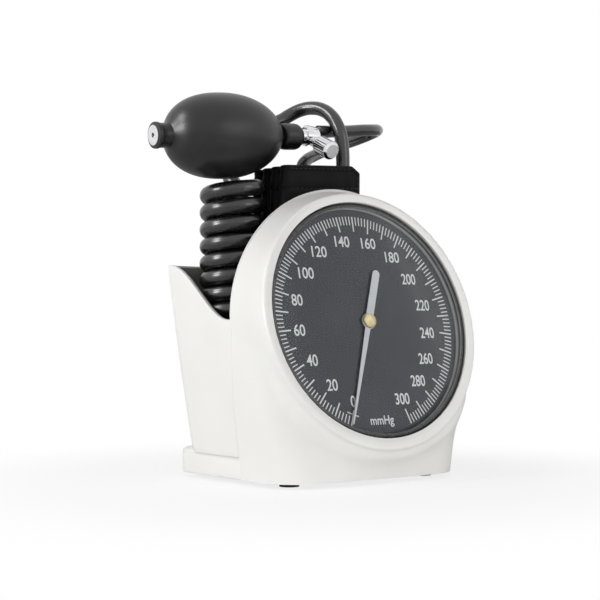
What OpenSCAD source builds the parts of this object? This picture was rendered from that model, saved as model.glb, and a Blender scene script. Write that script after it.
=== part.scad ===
// Desk model aneroid sphygmomanometer: a round gauge in a white moulded housing, a cuff
// basket behind it, a coiled hose, a folded cuff, and a rubber bulb with its two valves.
// Millimetres, +Z up, dial towards -Y. The housing is symmetric about its own X = 0 plane.
// The lens lies in front of the dial along +h, the dial's own outward axis.

/* [Dial] */
// Radius of the dial plate
face_r = 72.7; // [71.5:0.1:74]
// Height of the dial centre above the table
dial_h = 98; // [96:0.5:102]
// Lean of the dial back from upright, in degrees
tilt = 14; // [12:0.5:15]
// Pointer travel over the whole scale, in degrees
sweep = 320; // [270:5:325]
// Zero mark, in degrees clockwise from straight down
zero_angle = 20.7; // [10:0.1:35]
// Thickness of the dial plate
dial_t = 1; // [0.8:0.1:1.4]
// Height of the grey bevel ring between dial and lens
bevel_h = 5; // [4.8:0.1:6]
// Wall of the bevel ring at the dial
bevel_w = 1.1; // [0.9:0.1:2]
// Narrowing of the bevel ring's wall towards the lens
bevel_draw = 0.3; // [0.1:0.1:0.6]
// Thickness of the lens
lens_t = 1.4; // [1:0.1:2]
// Wall of the bezel skirt
bezel_w = 1.4; // [1:0.1:2]
// Thickness of the bezel lip over the lens
bezel_lip_t = 0.8; // [0.6:0.1:1.2]
// Depth of the bezel skirt behind the dial face
bezel_depth = 4; // [3:0.1:5]
// Reach of the bezel lip over the lens
bezel_reach = 0.7; // [0.5:0.1:2]

/* [Pointer] */
// Length of the pointer from its axis to its tip
pointer_len = 68; // [60:0.5:69]
// Width of the pointer at its hub
pointer_w = 4; // [3:0.1:5]
// Thickness of the pointer
pointer_t = 0.6; // [0.4:0.1:1]
// Height of the pointer above the dial
pointer_rise = 1.6; // [1.2:0.1:2]
// Length of the pointer's tail
tail_len = 35; // [25:0.5:45]
// Width of the pointer's tail
tail_w = 5.4; // [4:0.1:7]
// Radius of the brass cap
cap_r = 4.6; // [4:0.1:6]
// Height of the brass cap
cap_h = 2.4; // [1.8:0.1:2.6]

/* [Front shell] */
// Width of the white rim round the bezel
rim_w = 6.4; // [5.5:0.1:8]
// Height of the rim's crest in front of the dial
rim_crest = 9.2; // [8.5:0.1:10]
// Radius of the rim's rounded crest
rim_round = 3.2; // [2.4:0.1:3.2]
// Wall of the front shell
shell_wall = 2.6; // [2:0.1:3.2]
// Depth from the dial centre to the seam with the basket
seam_y = 29; // [28.5:0.5:33]
// Height of the rear arch's centre above the dial centre
arch_lift = 3.8; // [2:0.1:5]
// Distance from the dial centre forward to the foot's front
foot_front = 13.5; // [11:0.5:16]
// Corner radius of the foot's front
foot_corner_r = 29; // [26:1:34]
// Amount by which the foot is narrower than the arch, on each side
foot_draw = 8.6; // [7:0.1:10]
// Height of the housing's lower edge above the table
lift = 3; // [2:0.1:5]

/* [Rear basket] */
// Wall of the basket
basket_wall = 2.4; // [2:0.1:3]
// Thickness of the arch wall that closes the front shell
arch_wall = 2.8; // [2.4:0.1:3.4]
// Thickness of the basket floor
floor_t = 2.4; // [2:0.1:3]
// Height of the liner's floor, where cuff and coil stand
well_z = 52; // [50:0.5:54]
// Corner radius of the basket's rear
rear_corner_r = 12; // [10:0.5:14]
// Half width of the basket at its top rear corners
rear_half_w = 84.3; // [83:0.1:86]
// Distance from the dial centre back to the basket's top rear
rear_y = 107.7; // [105:0.1:112]
// Height of the side wall where its edge starts, at the arch
edge_low = 99.2; // [92:0.1:104]
// Rise of the side wall's edge towards the rear
edge_rise = 35.4; // [28:0.1:38]
// Height of the plinth's top
plinth_top = 19; // [17:0.1:21]
// Half width of the plinth at its rear
plinth_half_w = 78.2; // [76:0.1:79]
// Distance from the dial centre back to the plinth's rear
plinth_y = 95.7; // [92:0.1:98]
// Corner radius of the plinth's rear
plinth_corner_r = 8; // [6:0.5:10]
// Rounding of the plinth's top edge
plinth_round = 1.5; // [0.5:0.1:2]
// Thickness of the dark liner
liner_t = 1.4; // [1:0.1:2]
// Depth of the liner's edge below the basket's edge
liner_drop = 1; // [0.5:0.1:3]

/* [Base] */
// Thickness of the base plate
base_t = 2.2; // [1.8:0.1:3]
// Radius of a rubber foot
foot_r = 6; // [5:0.1:7]
// Distance of the front feet from the middle
front_foot_x = 52; // [50:0.5:56]
// Distance of the rear feet from the middle
rear_foot_x = 54; // [52:0.5:58]
// Radius of a foot's press-in stud
stud_r = 2; // [1.5:0.1:2.5]

/* [Screws] */
// Shank radius of the housing screws
screw_r = 1.5; // [1.2:0.1:1.8]
// Head radius of the housing screws
screw_head_r = 3.2; // [2.8:0.1:3.4]
// Head height of the housing screws
screw_head_h = 1.8; // [1.2:0.1:2.2]
// Radius of the housing's screw bosses
boss_r = 4; // [3.6:0.1:4.4]
// Shank radius of the gauge screws
small_screw_r = 1.2; // [1:0.1:1.4]
// Head radius of the gauge screws
small_head_r = 2.2; // [1.9:0.1:2.4]
// Head height of the gauge screws
small_head_h = 1.4; // [1:0.1:1.6]

/* [Gauge] */
// Wall of the gauge case's pan and can
case_wall = 1.2; // [1:0.1:1.4]
// Depth of the pan behind the dial plate
pan_depth = 6; // [5.6:0.1:7]
// Radius of the gauge can
can_r = 36; // [35.5:0.1:37]
// Distance of the can's centre below the dial centre
can_drop = 14; // [13:0.5:14.5]
// Depth of the can behind the pan
can_depth = 16; // [15.8:0.1:16.6]
// Radius of the pressure capsule
capsule_r = 24; // [21:0.1:24.5]
// Thickness of the pressure capsule
capsule_t = 6.4; // [5:0.1:6.6]
// Lift of the capsule's stem at full pressure
stem_lift = 1.2; // [0.8:0.1:1.3]
// Radius of the stem
stem_r = 0.8; // [0.6:0.1:0.9]

/* [Movement] */
// Gear module
gear_module = 0.4; // [0.39:0.01:0.41]
// Teeth of the pinion
pinion_teeth = 10; // [10:1:10]
// Teeth that the sector's full circle would have
wheel_teeth = 100; // [100:1:100]
// Thickness of the sector gear
sector_t = 0.8; // [0.6:0.1:1]
// Radius of the two arbors
arbor_r = 0.9; // [0.7:0.05:1]
// Thickness of the movement's plates
plate_t = 1; // [0.8:0.1:1.1]
// Radius of the movement's base plate
plate_r = 32.5; // [31.5:0.1:33]
// Radius of a pillar
pillar_r = 1.6; // [1.4:0.1:1.8]
// Outer radius of the hairspring
spring_r = 7; // [5:0.1:7.2]
// Turns of the hairspring
spring_turns = 5; // [3:1:5]

/* [Coiled hose] */
// Outer diameter of the coiled hose
hose_d = 10; // [9:0.1:10]
// Mean radius of the coil
coil_r = 15.9; // [15:0.1:16]
// Rise of the lowest turn
coil_pitch = 10.2; // [10.1:0.1:10.3]
// How much more each turn rises than the one below it
coil_growth = 0.06; // [0:0.01:0.07]
// Turns of the coil
coil_turns = 12; // [8:1:12]
// Distance of the coil's axis left of the middle
coil_x = 55.1; // [55:0.1:55.4]
// Distance of the coil's axis behind the dial centre
coil_y = 67.3; // [60:0.1:68]

/* [Tubes] */
// Outer diameter of the tube from the coil to the cuff
bladder_tube_d = 8.8; // [7:0.1:9]
// Outer diameter of the tube from the bulb to the cuff
inflation_tube_d = 7.8; // [6.5:0.1:8]
// Radius of the connector between coil and cuff tube
connector_r = 5.6; // [5:0.1:6.5]

/* [Cuff] */
// Layers of the folded cuff
cuff_layers = 8; // [8:1:8]
// Thickness of one layer
layer_t = 4.6; // [3.6:0.1:4.7]
// Distance from one layer to the next
layer_pitch = 5; // [5:0.1:5.2]
// Width of the cuff, which stands upright in the basket
cuff_h = 145; // [135:1:146]
// Length of one fold
fold_len = 62; // [58:0.5:64]
// Left side of the folded cuff, from the middle
cuff_left = 33.5; // [33:0.1:34]
// Front of the folded cuff, behind the dial centre
cuff_front = 41; // [39:0.5:42]
// Slope of the cuff's top edge, in degrees
cuff_slope = 3.4; // [1:0.1:4]
// Width of the cut corner on the free end
corner_w = 7; // [4:0.5:10]
// Height of the cut corner on the free end
corner_h = 5; // [3:0.5:8]
// Thickness of the empty bladder
bladder_t = 1.6; // [1:0.1:1.8]
// Thickness of the hook patch
patch_t = 0.8; // [0.5:0.1:1.2]

/* [Bulb] */
// Largest radius of the bulb
bulb_r = 27.2; // [24:0.1:27.3]
// Wall of the bulb
bulb_wall = 2.5; // [2:0.1:3]
// Length of the bulb and its collar
bulb_len = 112; // [110:0.5:113]
// Place of the largest radius along the bulb
bulb_belly = 49; // [46:0.5:52]
// Radius of the bulb's neck at the inlet valve
neck_r = 7.6; // [7:0.1:8.4]
// Radius of the bulb's collar at the release valve
collar_r = 8.6; // [8:0.1:9]
// Rise of the bulb's axis towards the release valve, in degrees
bulb_rise = 4.7; // [4:0.1:5]
// Radius of the inlet valve's disc
inlet_r = 6.2; // [5.8:0.1:6.5]
// Radius of the inlet valve's ball
ball_r = 2; // [1.8:0.1:2.2]
// Travel of the inlet valve's ball
ball_travel = 0.8; // [0.4:0.1:1.2]

/* [Release valve] */
// Radius of the valve's plug in the collar
plug_r = 5; // [4.4:0.1:5.4]
// Radius of the valve's block
block_r = 5.4; // [5:0.1:6]
// Radius of the thumb screw's head
thumb_r = 6.2; // [5:0.1:6.6]
// Length of the thumb screw's head
thumb_len = 14; // [11:0.5:14.5]
// Radius of the thumb screw's spindle
spindle_r = 2; // [1.6:0.1:2.4]
// Downward slope of the thumb screw, in degrees
thumb_slope = 24; // [15:1:26]

/* [Fits] */
// Radial clearance of turning shafts and of screws in their holes
fit = 0.05; // [0.03:0.01:0.08]
// Gap between mouldings that are assembled side by side
joint_gap = 0.2; // [0.1:0.05:0.3]
// Gap between the bezel and the window
window_gap = 0.3; // [0.2:0.05:0.4]
// Gap between soft pieces and what they lie on
soft_gap = 0.3; // [0.2:0.05:0.4]

/* [Hidden] */
$fn = 96;
hull_fn = 64;
post_fn = 32;
eps = 0.01;
slice = 0.5;

// Window, rim and arch
bezel_out_r = face_r + 0.2 + bezel_w;
window_r = bezel_out_r + window_gap;
rim_r = window_r + rim_w;
rim_h = rim_crest - rim_round;
rim_front = rim_h - 3.6;
arch_r = rim_r - 0.4;
arch_z = dial_h + arch_lift;
sleeve_r = window_r + 4;
case_back = dial_t + pan_depth;
ledge_t = 2;
ledge_back = case_back + ledge_t;
ledge_r = face_r - 8.7;

// Flank of the housing at the seam: heights and half widths from the lower edge up
flank = [[lift, arch_r - foot_draw], [lift + 14, arch_r - foot_draw * 0.73],
    [30, arch_r - foot_draw * 0.5], [60, arch_r - foot_draw * 0.16], [arch_z, arch_r]];
// Rear corner of the basket: heights, half widths and depths; it leans back as it rises
basket_top = edge_low + edge_rise + 6;
basket_foot = plinth_top - 2;
rear_corner = [[basket_foot, rear_half_w - 5.8, rear_y - 23], [26, rear_half_w - 5, rear_y - 21.1],
    [74.6, rear_half_w - 3, rear_y - 10.1], [edge_low + edge_rise, rear_half_w, rear_y],
    [basket_top, rear_half_w, rear_y]];
basket_y = seam_y + joint_gap;
arch_back = basket_y + arch_wall;
edge_start = arch_back + 1;
edge_run = 64;
liner_floor = well_z - liner_t;
basket_floor = liner_floor - joint_gap - floor_t;
liner_out = basket_wall + joint_gap;

// Base: plate, feet and screw posts
plate_z = lift + 0.2;
plate_inset = shell_wall + joint_gap;
boss_inset = shell_wall + boss_r - 0.5;
front_foot_y = 9;
rear_foot_y = 82;
front_post = [30, boss_inset + 0.4 - foot_front];
rear_post = [40, rear_foot_y];
front_post_top = plate_z + base_t + 17;
post_start = plate_z + base_t;
screw_grip = 9;
wall_screw_low = 42;
wall_boss_len = 6;

// Gauge: places along the dial's axis, and the can's centre below the dial centre
pan_r = face_r + 0.1;
pan_wall = 3.2;
can_back = case_back + can_depth;
case_screw_r = (ledge_r + pan_r - pan_wall) / 2 + 1.2;
case_screw_angles = [90, 210, 330];
gear_centres = gear_module * (pinion_teeth + wheel_teeth) / 2;
wheel_r = gear_module * wheel_teeth / 2;
pinion_r = gear_module * pinion_teeth / 2;
gear_ratio = wheel_teeth / pinion_teeth;
sector_swing = sweep / gear_ratio;
bridge_top = 3.5;
bridge_back = bridge_top + plate_t;
plate_top = 9.5;
plate_back = plate_top + plate_t;
sector_back = 8;
pinion_back = 8.6;
pinion_t = 2;
spring_back = 6.2;
spring_h = 0.8;
spring_t = 0.2;
spring_in = 1.4;
collet_r = 1.1;
leg_at = [[-24, 8], [26, 12], [-22, -20]];
leg_r = 2.2;
pillar_at = [[0, 9], [18, 4 - gear_centres], [-18, 4 - gear_centres]];
pillar_stud_r = 0.8;
bridge_margin = 4;
capsule_at = [4.5, -gear_centres];
capsule_back = can_back - case_wall - 0.8;
capsule_top = capsule_back - capsule_t;
stem_gap = 0.3;
stem_len = 1.3;
stem_tip_r = 0.25;
stem_tip_h = 0.5;
stem_foot_r = 1.6;
stem_foot_t = 0.5;
stem_back = capsule_top - 0.2;
finger_over_stem = stem_back - stem_len - stem_gap;
finger_t = 0.6;
finger_edge = 0.1;
finger_reach = 2;
nipple_r = 2.5;
nipple_back = can_back + 5.2;
nipple_end = 22;

// Hose coil
hose_r = hose_d / 2;
hose_facets = 6;
loop_rings = 24;
coil_ease = 0.5;
coil_z = well_z + soft_gap + hose_r + coil_ease;
coil_side_x = coil_r - coil_x;
hose_hole_r = hose_r + 0.2;

// Free tubes: points along each route, from its first end to its last
tube_facets = 10;
gauge_hose_route = [[4.5, 16.7, 48.5], [4.5, 15.2, 42.5], [1, 13, 35.5], [-9, 10.5, 29.5],
    [-21, 8, 28.5], [-32, 5.5, 33], [-39, 5, 41.5], [-40.4, 8.5, 50.5], [-39.8, 15, 56.2],
    [-39.2, 22, 57.3], [-39.2, 40, 57.3], [-39.2, 57.3, 57.3]];
coil_lead_route = [[-39.2, 77.3, 185.02], [-39.2, 81.5, 185.02], [-39.8, 88, 187.6],
    [-40.5, 93, 193], [-40.8, 96.2, 200.5], [-40.5, 98.5, 209], [-37.5, 97.8, 217], [-32, 95.5, 221.7],
    [-26, 94.5, 224.4]];
connector_ends = [[-27, 94.7, 223.9], [-7, 93, 232.5]];
bladder_tube_route = [[-8, 93.1, 232.1], [0, 92.4, 235.5], [5, 90, 239], [10, 84.5, 242.2],
    [14, 77.5, 243], [17, 69, 240.8], [18.5, 61, 235.5], [19.5, 56, 229], [20.5, 53.5, 222],
    [21.5, 53, 214], [22, 53, 205], [22, 53.3, 196.5]];
inflation_tube_route = [[8, 62, 224.5], [14, 62.8, 225.1], [22, 65.5, 226.3], [32, 68, 227.6],
    [42, 69.5, 229], [52, 71, 230.6], [63, 74, 232.2], [73, 80.5, 234], [78.5, 88, 234.6],
    [77.5, 94.5, 233], [70, 97.5, 229.6], [60, 96.5, 226], [48, 93, 222], [32, 86.5, 216.5],
    [17, 79, 211], [6, 73, 206], [1, 70, 201.5], [0, 68.3, 196.5]];

// Folded cuff
cuff_bottom = well_z + soft_gap;
cuff_right = fold_len - cuff_left;
fold_out = (layer_pitch + layer_t) / 2;
pocket_t = bladder_t + 0.6;
bladder_first = 2;
bladder_last = 5;
bladder_margin = 9;
neck_w = 6;
tube_depth = 3;
patch_h = 90;
patch_w = 46;
cuff_back = cuff_front + (cuff_layers - 1) * layer_pitch + layer_t;
cuff_climb = fold_len * tan(cuff_slope);

// Bulb: its own frame starts at the inlet end, with x along its axis
bulb_at = [-115, 62, 210.8];
bulb_start = 10;
bulb_fullness = 2.4;
collar_start = bulb_len - 20.6;
bead_r = neck_r + 0.6;
disc_proud = 0.6;
disc_seat = 1;
inlet_plug_r = 5.2;
inlet_len = 11.5;
seat_hole_r = 1.5;
seat_depth = 4;
chamber_r = ball_r + 0.6;
ball_rest = seat_depth + sqrt(ball_r * ball_r - seat_hole_r * seat_hole_r) + 0.08;
plug_len = 14;
block_len = 8.5;
outlet_at = [-3.5, 224.5];
outlet_len = 14.5;
outlet_r = [3.5, 2.4];
air_r = 1.3;
thumb_at = [3, 62, 218.3];
boss_end = 10;
thumb_boss_r = 3.6;
thumb_knurls = 20;

// Corner of the whole part's box, cords left out, and the origin in the middle of its base
box_left = bulb_at[0] - disc_proud * cos(bulb_rise) - inlet_r * sin(bulb_rise);
box_front = -(window_r + rim_w / 2) * sin(tilt) - rim_h * cos(tilt) - rim_round;
origin = [(box_left + rear_half_w) / 2, (box_front + rear_y) / 2, 0];

function unit(a) = a / norm(a);
function squared(a) = a * a;
function oval_radius(a, power, r) = r * pow(max(0, 1 - pow(a, power)), 1 / power);
function smooth_step(a) = let (b = max(0, min(1, a))) b * b * (3 - 2 * b);
function cw_from_down(a) = -90 - a;

// Flank half width at a height, between the named heights
function flank_w(z, i = 0) = i >= len(flank) - 2 || z <= flank[i + 1][0]
    ? flank[i][1] + (flank[i + 1][1] - flank[i][1]) * (z - flank[i][0])
        / (flank[i + 1][0] - flank[i][0])
    : flank_w(z, i + 1);

module place() {
    translate(-origin) children();
}

// The dial's own frame: x right, y up the dial, z out of the dial
module dial_frame() {
    translate([0, 0, dial_h]) rotate([90 - tilt, 0, 0]) children();
}

// A disc or ring between two depths behind the dial face
module disc(r, back, front) {
    translate([0, 0, -back]) cylinder(h = back + front, r = r);
}

module bulb_frame() {
    translate(bulb_at) rotate([0, -bulb_rise, 0]) children();
}

// Along the thumb screw, from the valve block outwards
module thumb_frame() {
    translate(thumb_at) rotate([90 + thumb_slope, 0, 0]) children();
}

module both_sides() {
    children();
    mirror([1, 0, 0]) children();
}

// A tube swept along points, with a ring of facets square to the path at each point
function tangents(p) = [for (i = [0:len(p) - 1])
    unit(p[min(i + 1, len(p) - 1)] - p[max(i - 1, 0)])];
function carried(side, tangent) = unit(side - (side * tangent) * tangent);
function sides(t, first) = [for (i = 0, u = carried(first, t[0]); i < len(t);
    i = i + 1, u = carried(u, t[min(i, len(t) - 1)])) u];
function ring_points(p, r, n, first) = let (t = tangents(p), u = sides(t, first))
    [for (i = [0:len(p) - 1], k = [0:n - 1])
        p[i] + r * (cos(360 * k / n) * u[i] + sin(360 * k / n) * cross(t[i], u[i]))];

module tube(route, r, n, first = [0, 0, 1]) {
    last = (len(route) - 1) * n;
    polyhedron(
        points = ring_points(route, r, n, first),
        faces = concat(
            [for (k = [1:n - 2]) [0, k, k + 1]],
            [for (k = [1:n - 2]) [last, last + k + 1, last + k]],
            [for (i = [0:len(route) - 2], k = [0:n - 1])
                [i * n + k, (i + 1) * n + k, (i + 1) * n + (k + 1) % n]],
            [for (i = [0:len(route) - 2], k = [0:n - 1])
                [i * n + k, (i + 1) * n + (k + 1) % n, i * n + (k + 1) % n]]));
}

// Housing forms, each with its walls drawn in by inset
module drum(inset, back, front, rear) {
    hull() {
        dial_frame() translate([0, 0, back]) cylinder(h = front - back, r = rim_r - inset, $fn = hull_fn);
        translate([0, rear, arch_z]) rotate([90, 0, 0])
            cylinder(h = slice, r = arch_r - inset, $fn = hull_fn);
    }
}

module pedestal(inset, rear, below) {
    hull() for (level = flank) {
        z = level[0] == lift ? lift - below : level[0];
        both_sides() translate([level[1] - foot_corner_r, foot_corner_r - foot_front, z])
            cylinder(h = slice, r = foot_corner_r - inset, $fn = hull_fn);
        translate([inset - level[1], rear - slice, z]) cube([2 * (level[1] - inset), slice, slice]);
    }
}

module basket_form(inset, front) {
    hull() {
        for (level = rear_corner) both_sides()
            translate([level[1] - rear_corner_r, level[2] - rear_corner_r, level[0] - inset])
                cylinder(h = slice, r = rear_corner_r - inset, $fn = post_fn);
        for (z = [basket_foot - inset, flank[2][0], flank[3][0], arch_z, basket_top + inset])
            translate([inset - flank_w(min(z, arch_z)), front, z])
                cube([2 * (flank_w(min(z, arch_z)) - inset), slice, slice]);
    }
}

module plinth_form(inset, low, top) {
    hull() for (z = [[low, 0], [top - plinth_round, 0], [top - slice, plinth_round]]) {
        both_sides() translate([plinth_half_w - plinth_corner_r, plinth_y - plinth_corner_r, z[0]])
            cylinder(h = slice, r = plinth_corner_r - inset - z[1], $fn = post_fn);
        translate([inset + z[1] - flank[0][1], basket_y, z[0]])
            cube([2 * (flank[0][1] - inset - z[1]), slice, slice]);
    }
}

// Everything above the side walls' S-shaped edge
function edge_z(y, drop) = edge_low - drop + edge_rise * smooth_step((y - edge_start) / edge_run);
module above_edge(drop) {
    high = basket_top + 20;
    steps = [seam_y - 1, for (k = [0:16]) edge_start + edge_run * k / 16, rear_y + 5];
    rotate([90, 0, 90]) translate([0, 0, -rear_half_w - 10])
        linear_extrude(2 * rear_half_w + 20)
            polygon(concat([for (y = steps) [y, edge_z(y, drop)]],
                [[rear_y + 5, high], [seam_y - 1, high]]));
}

module at_wall_screws() {
    high = (arch_r - boss_inset) * sin(45);
    for (at = [[high, arch_z + high], [flank_w(wall_screw_low) - boss_inset, wall_screw_low]])
        both_sides() translate([at[0], 0, at[1]]) rotate([-90, 0, 0]) children();
}

module front_shell() {
    color("whitesmoke") difference() {
        union() {
            difference() {
                union() {
                    drum(0.2, rim_front - 0.4, rim_h, seam_y);
                    pedestal(0, seam_y, 0);
                    dial_frame() rim_ring();
                }
                drum(shell_wall, rim_front - 1, rim_front, seam_y + 1);
                pedestal(shell_wall, seam_y + 1, 1);
                dial_frame() disc(window_r, ledge_back, rim_crest + 20);
                behind_seam();
            }
            dial_frame() difference() {
                disc(sleeve_r, ledge_back, rim_front + 1);
                disc(window_r, case_back, rim_front + 2);
                disc(ledge_r, ledge_back + 1, 0);
            }
            at_wall_screws() translate([0, 0, seam_y - wall_boss_len])
                cylinder(h = wall_boss_len, r = boss_r);
            both_sides() translate([front_post[0], front_post[1], post_start])
                cylinder(h = front_post_top - post_start, r = boss_r);
        }
        at_wall_screws() translate([0, 0, seam_y - wall_boss_len + 1])
            cylinder(h = wall_boss_len, r = screw_r + fit);
        both_sides() translate([front_post[0], front_post[1], post_start - eps])
            cylinder(h = screw_grip, r = screw_r + fit);
        dial_frame() at_case_screws() translate([0, 0, -ledge_back - 1])
            cylinder(h = ledge_t + 2, r = small_screw_r + fit);
    }
}

module behind_seam() {
    translate([-arch_r, seam_y, 0]) cube([2 * arch_r, 2 * foot_corner_r, arch_z + arch_r]);
}

// The rounded front of the rim
module rim_ring() {
    rotate_extrude() {
        translate([window_r, rim_front]) square([rim_w, rim_h - rim_front]);
        translate([window_r + rim_w / 2, rim_h]) intersection() {
            circle(r = rim_round);
            translate([-rim_w, 0]) square([2 * rim_w, rim_round]);
        }
    }
}

module rear_basket() {
    color("white") difference() {
        union() {
            difference() {
                union() {
                    basket_form(0, basket_y);
                    plinth_form(0, lift, plinth_top);
                }
                basket_form(basket_wall, basket_y - 2);
                plinth_form(basket_wall, lift - 1, plinth_top - basket_wall);
                above_edge(0);
            }
            translate([0, arch_back, 0]) rotate([90, 0, 0])
                linear_extrude(arch_wall) arch_outline();
            intersection() {
                basket_form(1, basket_y);
                translate([-rear_half_w, basket_y, basket_floor])
                    cube([2 * rear_half_w, rear_y - basket_y, floor_t]);
            }
            both_sides() translate([rear_post[0], rear_post[1], post_start])
                cylinder(h = basket_floor + 1 - post_start, r = boss_r);
        }
        hose_hole();
        at_wall_screws() translate([0, 0, basket_y - 1])
            cylinder(h = arch_wall + 2, r = screw_r + fit);
        both_sides() translate([rear_post[0], rear_post[1], post_start - eps])
            cylinder(h = screw_grip, r = screw_r + fit);
    }
}

module arch_outline() {
    translate([0, arch_z]) circle(r = arch_r);
    low = post_start + joint_gap;
    polygon(concat([for (level = flank) [level[1] - 0.1, max(level[0], low)]],
        [for (i = [len(flank) - 1:-1:0]) [0.1 - flank[i][1], max(flank[i][0], low)]]));
}

module hose_hole() {
    translate([coil_side_x, basket_y - 1, coil_z - coil_ease]) rotate([-90, 0, 0])
        cylinder(h = arch_wall + joint_gap + liner_t + 2, r = hose_hole_r);
}

module basket_liner() {
    color("dimgray") difference() {
        union() {
            difference() {
                basket_form(liner_out, arch_back + joint_gap);
                basket_form(liner_out + liner_t, arch_back + joint_gap + liner_t);
                translate([-rear_half_w, 0, 0]) cube([2 * rear_half_w, rear_y, liner_floor + 0.4]);
                above_edge(liner_drop);
            }
            intersection() {
                basket_form(liner_out, arch_back + joint_gap);
                translate([-rear_half_w, 0, liner_floor]) cube([2 * rear_half_w, rear_y, liner_t]);
            }
        }
        hose_hole();
    }
}

function quarter(x, y, r, from) = [for (a = [from:10:from + 90]) [x + r * cos(a), y + r * sin(a)]];

module base_plate() {
    front_x = flank[0][1] - foot_corner_r;
    front_y = foot_corner_r - foot_front;
    rear_x = plinth_half_w - plinth_corner_r;
    back_y = plinth_y - plinth_corner_r;
    front_w = flank[0][1] - plate_inset;
    color("gainsboro") translate([0, 0, plate_z]) difference() {
        linear_extrude(base_t) polygon(concat(
            quarter(rear_x, back_y, plinth_corner_r - plate_inset, 0),
            quarter(-rear_x, back_y, plinth_corner_r - plate_inset, 90),
            [[-front_w, basket_y + 1]],
            quarter(-front_x, front_y, foot_corner_r - plate_inset, 180),
            quarter(front_x, front_y, foot_corner_r - plate_inset, 270),
            [[front_w, basket_y + 1]]));
        at_base_posts() translate([0, 0, -1]) cylinder(h = base_t + 2, r = screw_r + fit);
        at_feet() translate([0, 0, -1]) cylinder(h = base_t + 2, r = stud_r + fit);
    }
}

module at_base_posts() {
    both_sides() translate(front_post) children();
    both_sides() translate(rear_post) children();
}

module at_feet() {
    both_sides() translate([front_foot_x, front_foot_y]) children();
    both_sides() translate([rear_foot_x, rear_foot_y]) children();
}

module rubber_feet() {
    color("black") at_feet() {
        cylinder(h = plate_z, r = foot_r);
        cylinder(h = plate_z + base_t + 1, r = stud_r);
    }
}

// A screw with its head at z = 0 and its shank along +z
module screw(r, head_r, head_h, len) {
    translate([0, 0, -head_h]) difference() {
        cylinder(h = head_h, r = head_r);
        translate([-head_r, -r / 4, -eps]) cube([2 * head_r, r / 2, head_h / 2]);
    }
    translate([0, 0, -eps]) cylinder(h = len, r = r);
}

module wall_screws() {
    color("silver") at_wall_screws() translate([0, 0, arch_back]) mirror([0, 0, 1])
        screw(screw_r, screw_head_r, screw_head_h, arch_wall + wall_boss_len - 1.6);
}

module base_screws() {
    color("silver") at_base_posts() translate([0, 0, plate_z])
        screw(screw_r, screw_head_r, screw_head_h, base_t + screw_grip - 1);
}

module at_case_screws() {
    for (angle = case_screw_angles) rotate([0, 0, angle]) translate([case_screw_r, 0, 0]) children();
}

module gauge_case() {
    color("silver") dial_frame() difference() {
        union() {
            disc(pan_r, case_back, -dial_t);
            translate([0, -can_drop, 0]) disc(can_r, can_back, -case_back + 0.6);
        }
        disc(pan_r - pan_wall, case_back - 1.4, 0);
        translate([0, -can_drop, 0]) disc(can_r - case_wall, can_back - case_wall, 0);
        at_case_screws() translate([0, 0, -case_back - 1]) cylinder(h = 3, r = small_screw_r + fit);
        at_legs() translate([0, 0, -can_back - 1]) cylinder(h = case_wall + 2, r = small_screw_r + fit);
        translate([capsule_at[0], capsule_at[1], -can_back - 1])
            cylinder(h = case_wall + 2, r = nipple_r + fit);
    }
}

module case_screws() {
    color("silver") dial_frame() at_case_screws() translate([0, 0, -ledge_back])
        screw(small_screw_r, small_head_r, small_head_h, ledge_t + 1.2);
}

module at_legs() {
    for (at = leg_at) translate([at[0], at[1] - can_drop, 0]) children();
}

module dial_plate() {
    color("dimgray") dial_frame() difference() {
        disc(face_r, dial_t, 0);
        disc(arbor_r + 1.1, dial_t + 1, 1);
    }
}

module bevel_ring() {
    color("slategray") dial_frame() rotate_extrude()
        polygon([[face_r - bevel_w, 0], [face_r, 0], [face_r, bevel_h],
            [face_r - bevel_w + bevel_draw, bevel_h]]);
}

module lens() {
    color("aliceblue", 0.35) dial_frame() translate([0, 0, bevel_h]) cylinder(h = lens_t, r = face_r);
}

module bezel_ring() {
    top = bevel_h + lens_t;
    color("black") dial_frame() rotate_extrude()
        polygon([[bezel_out_r - bezel_w, -bezel_depth], [bezel_out_r, -bezel_depth],
            [bezel_out_r, top + bezel_lip_t], [face_r - bezel_reach, top + bezel_lip_t],
            [face_r - bezel_reach, top], [bezel_out_r - bezel_w, top]]);
}

module pointer() {
    color("white") dial_frame() translate([0, 0, pointer_rise]) rotate([0, 0, cw_from_down(zero_angle)])
        difference() {
            linear_extrude(pointer_t) {
                circle(r = pointer_w / 2 + 3);
                polygon([[0, -pointer_w / 2], [pointer_len - 1, -0.5], [pointer_len, 0],
                    [pointer_len - 1, 0.5], [0, pointer_w / 2]]);
                translate([tail_w / 2 - tail_len, -tail_w / 2]) square([tail_len - tail_w / 2, tail_w]);
                translate([tail_w / 2 - tail_len, 0]) circle(r = tail_w / 2);
            }
            translate([0, 0, -1]) cylinder(h = pointer_t + 2, r = arbor_r + fit);
        }
}

module pointer_cap() {
    base = pointer_rise + pointer_t;
    straight = cap_h / 2;
    dome = cap_h - straight;
    color("goldenrod") dial_frame() translate([0, 0, base]) difference() {
        rotate_extrude() polygon(concat([[0, 0], [cap_r, 0]],
            [for (a = [0:15:90]) [cap_r * cos(a), straight + dome * sin(a)]]));
        translate([0, 0, -1]) cylinder(h = 1 + cap_h - 0.9, r = arbor_r + fit);
    }
}

// Radial teeth with a flat crest, narrower than their gaps for backlash
module teeth(angles, root_r, tip_r, root_w, tip_w) {
    for (a = angles) rotate([0, 0, a])
        polygon([[root_r - 0.3, -root_w / 2], [tip_r, -tip_w / 2],
            [tip_r, tip_w / 2], [root_r - 0.3, root_w / 2]]);
}

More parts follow.
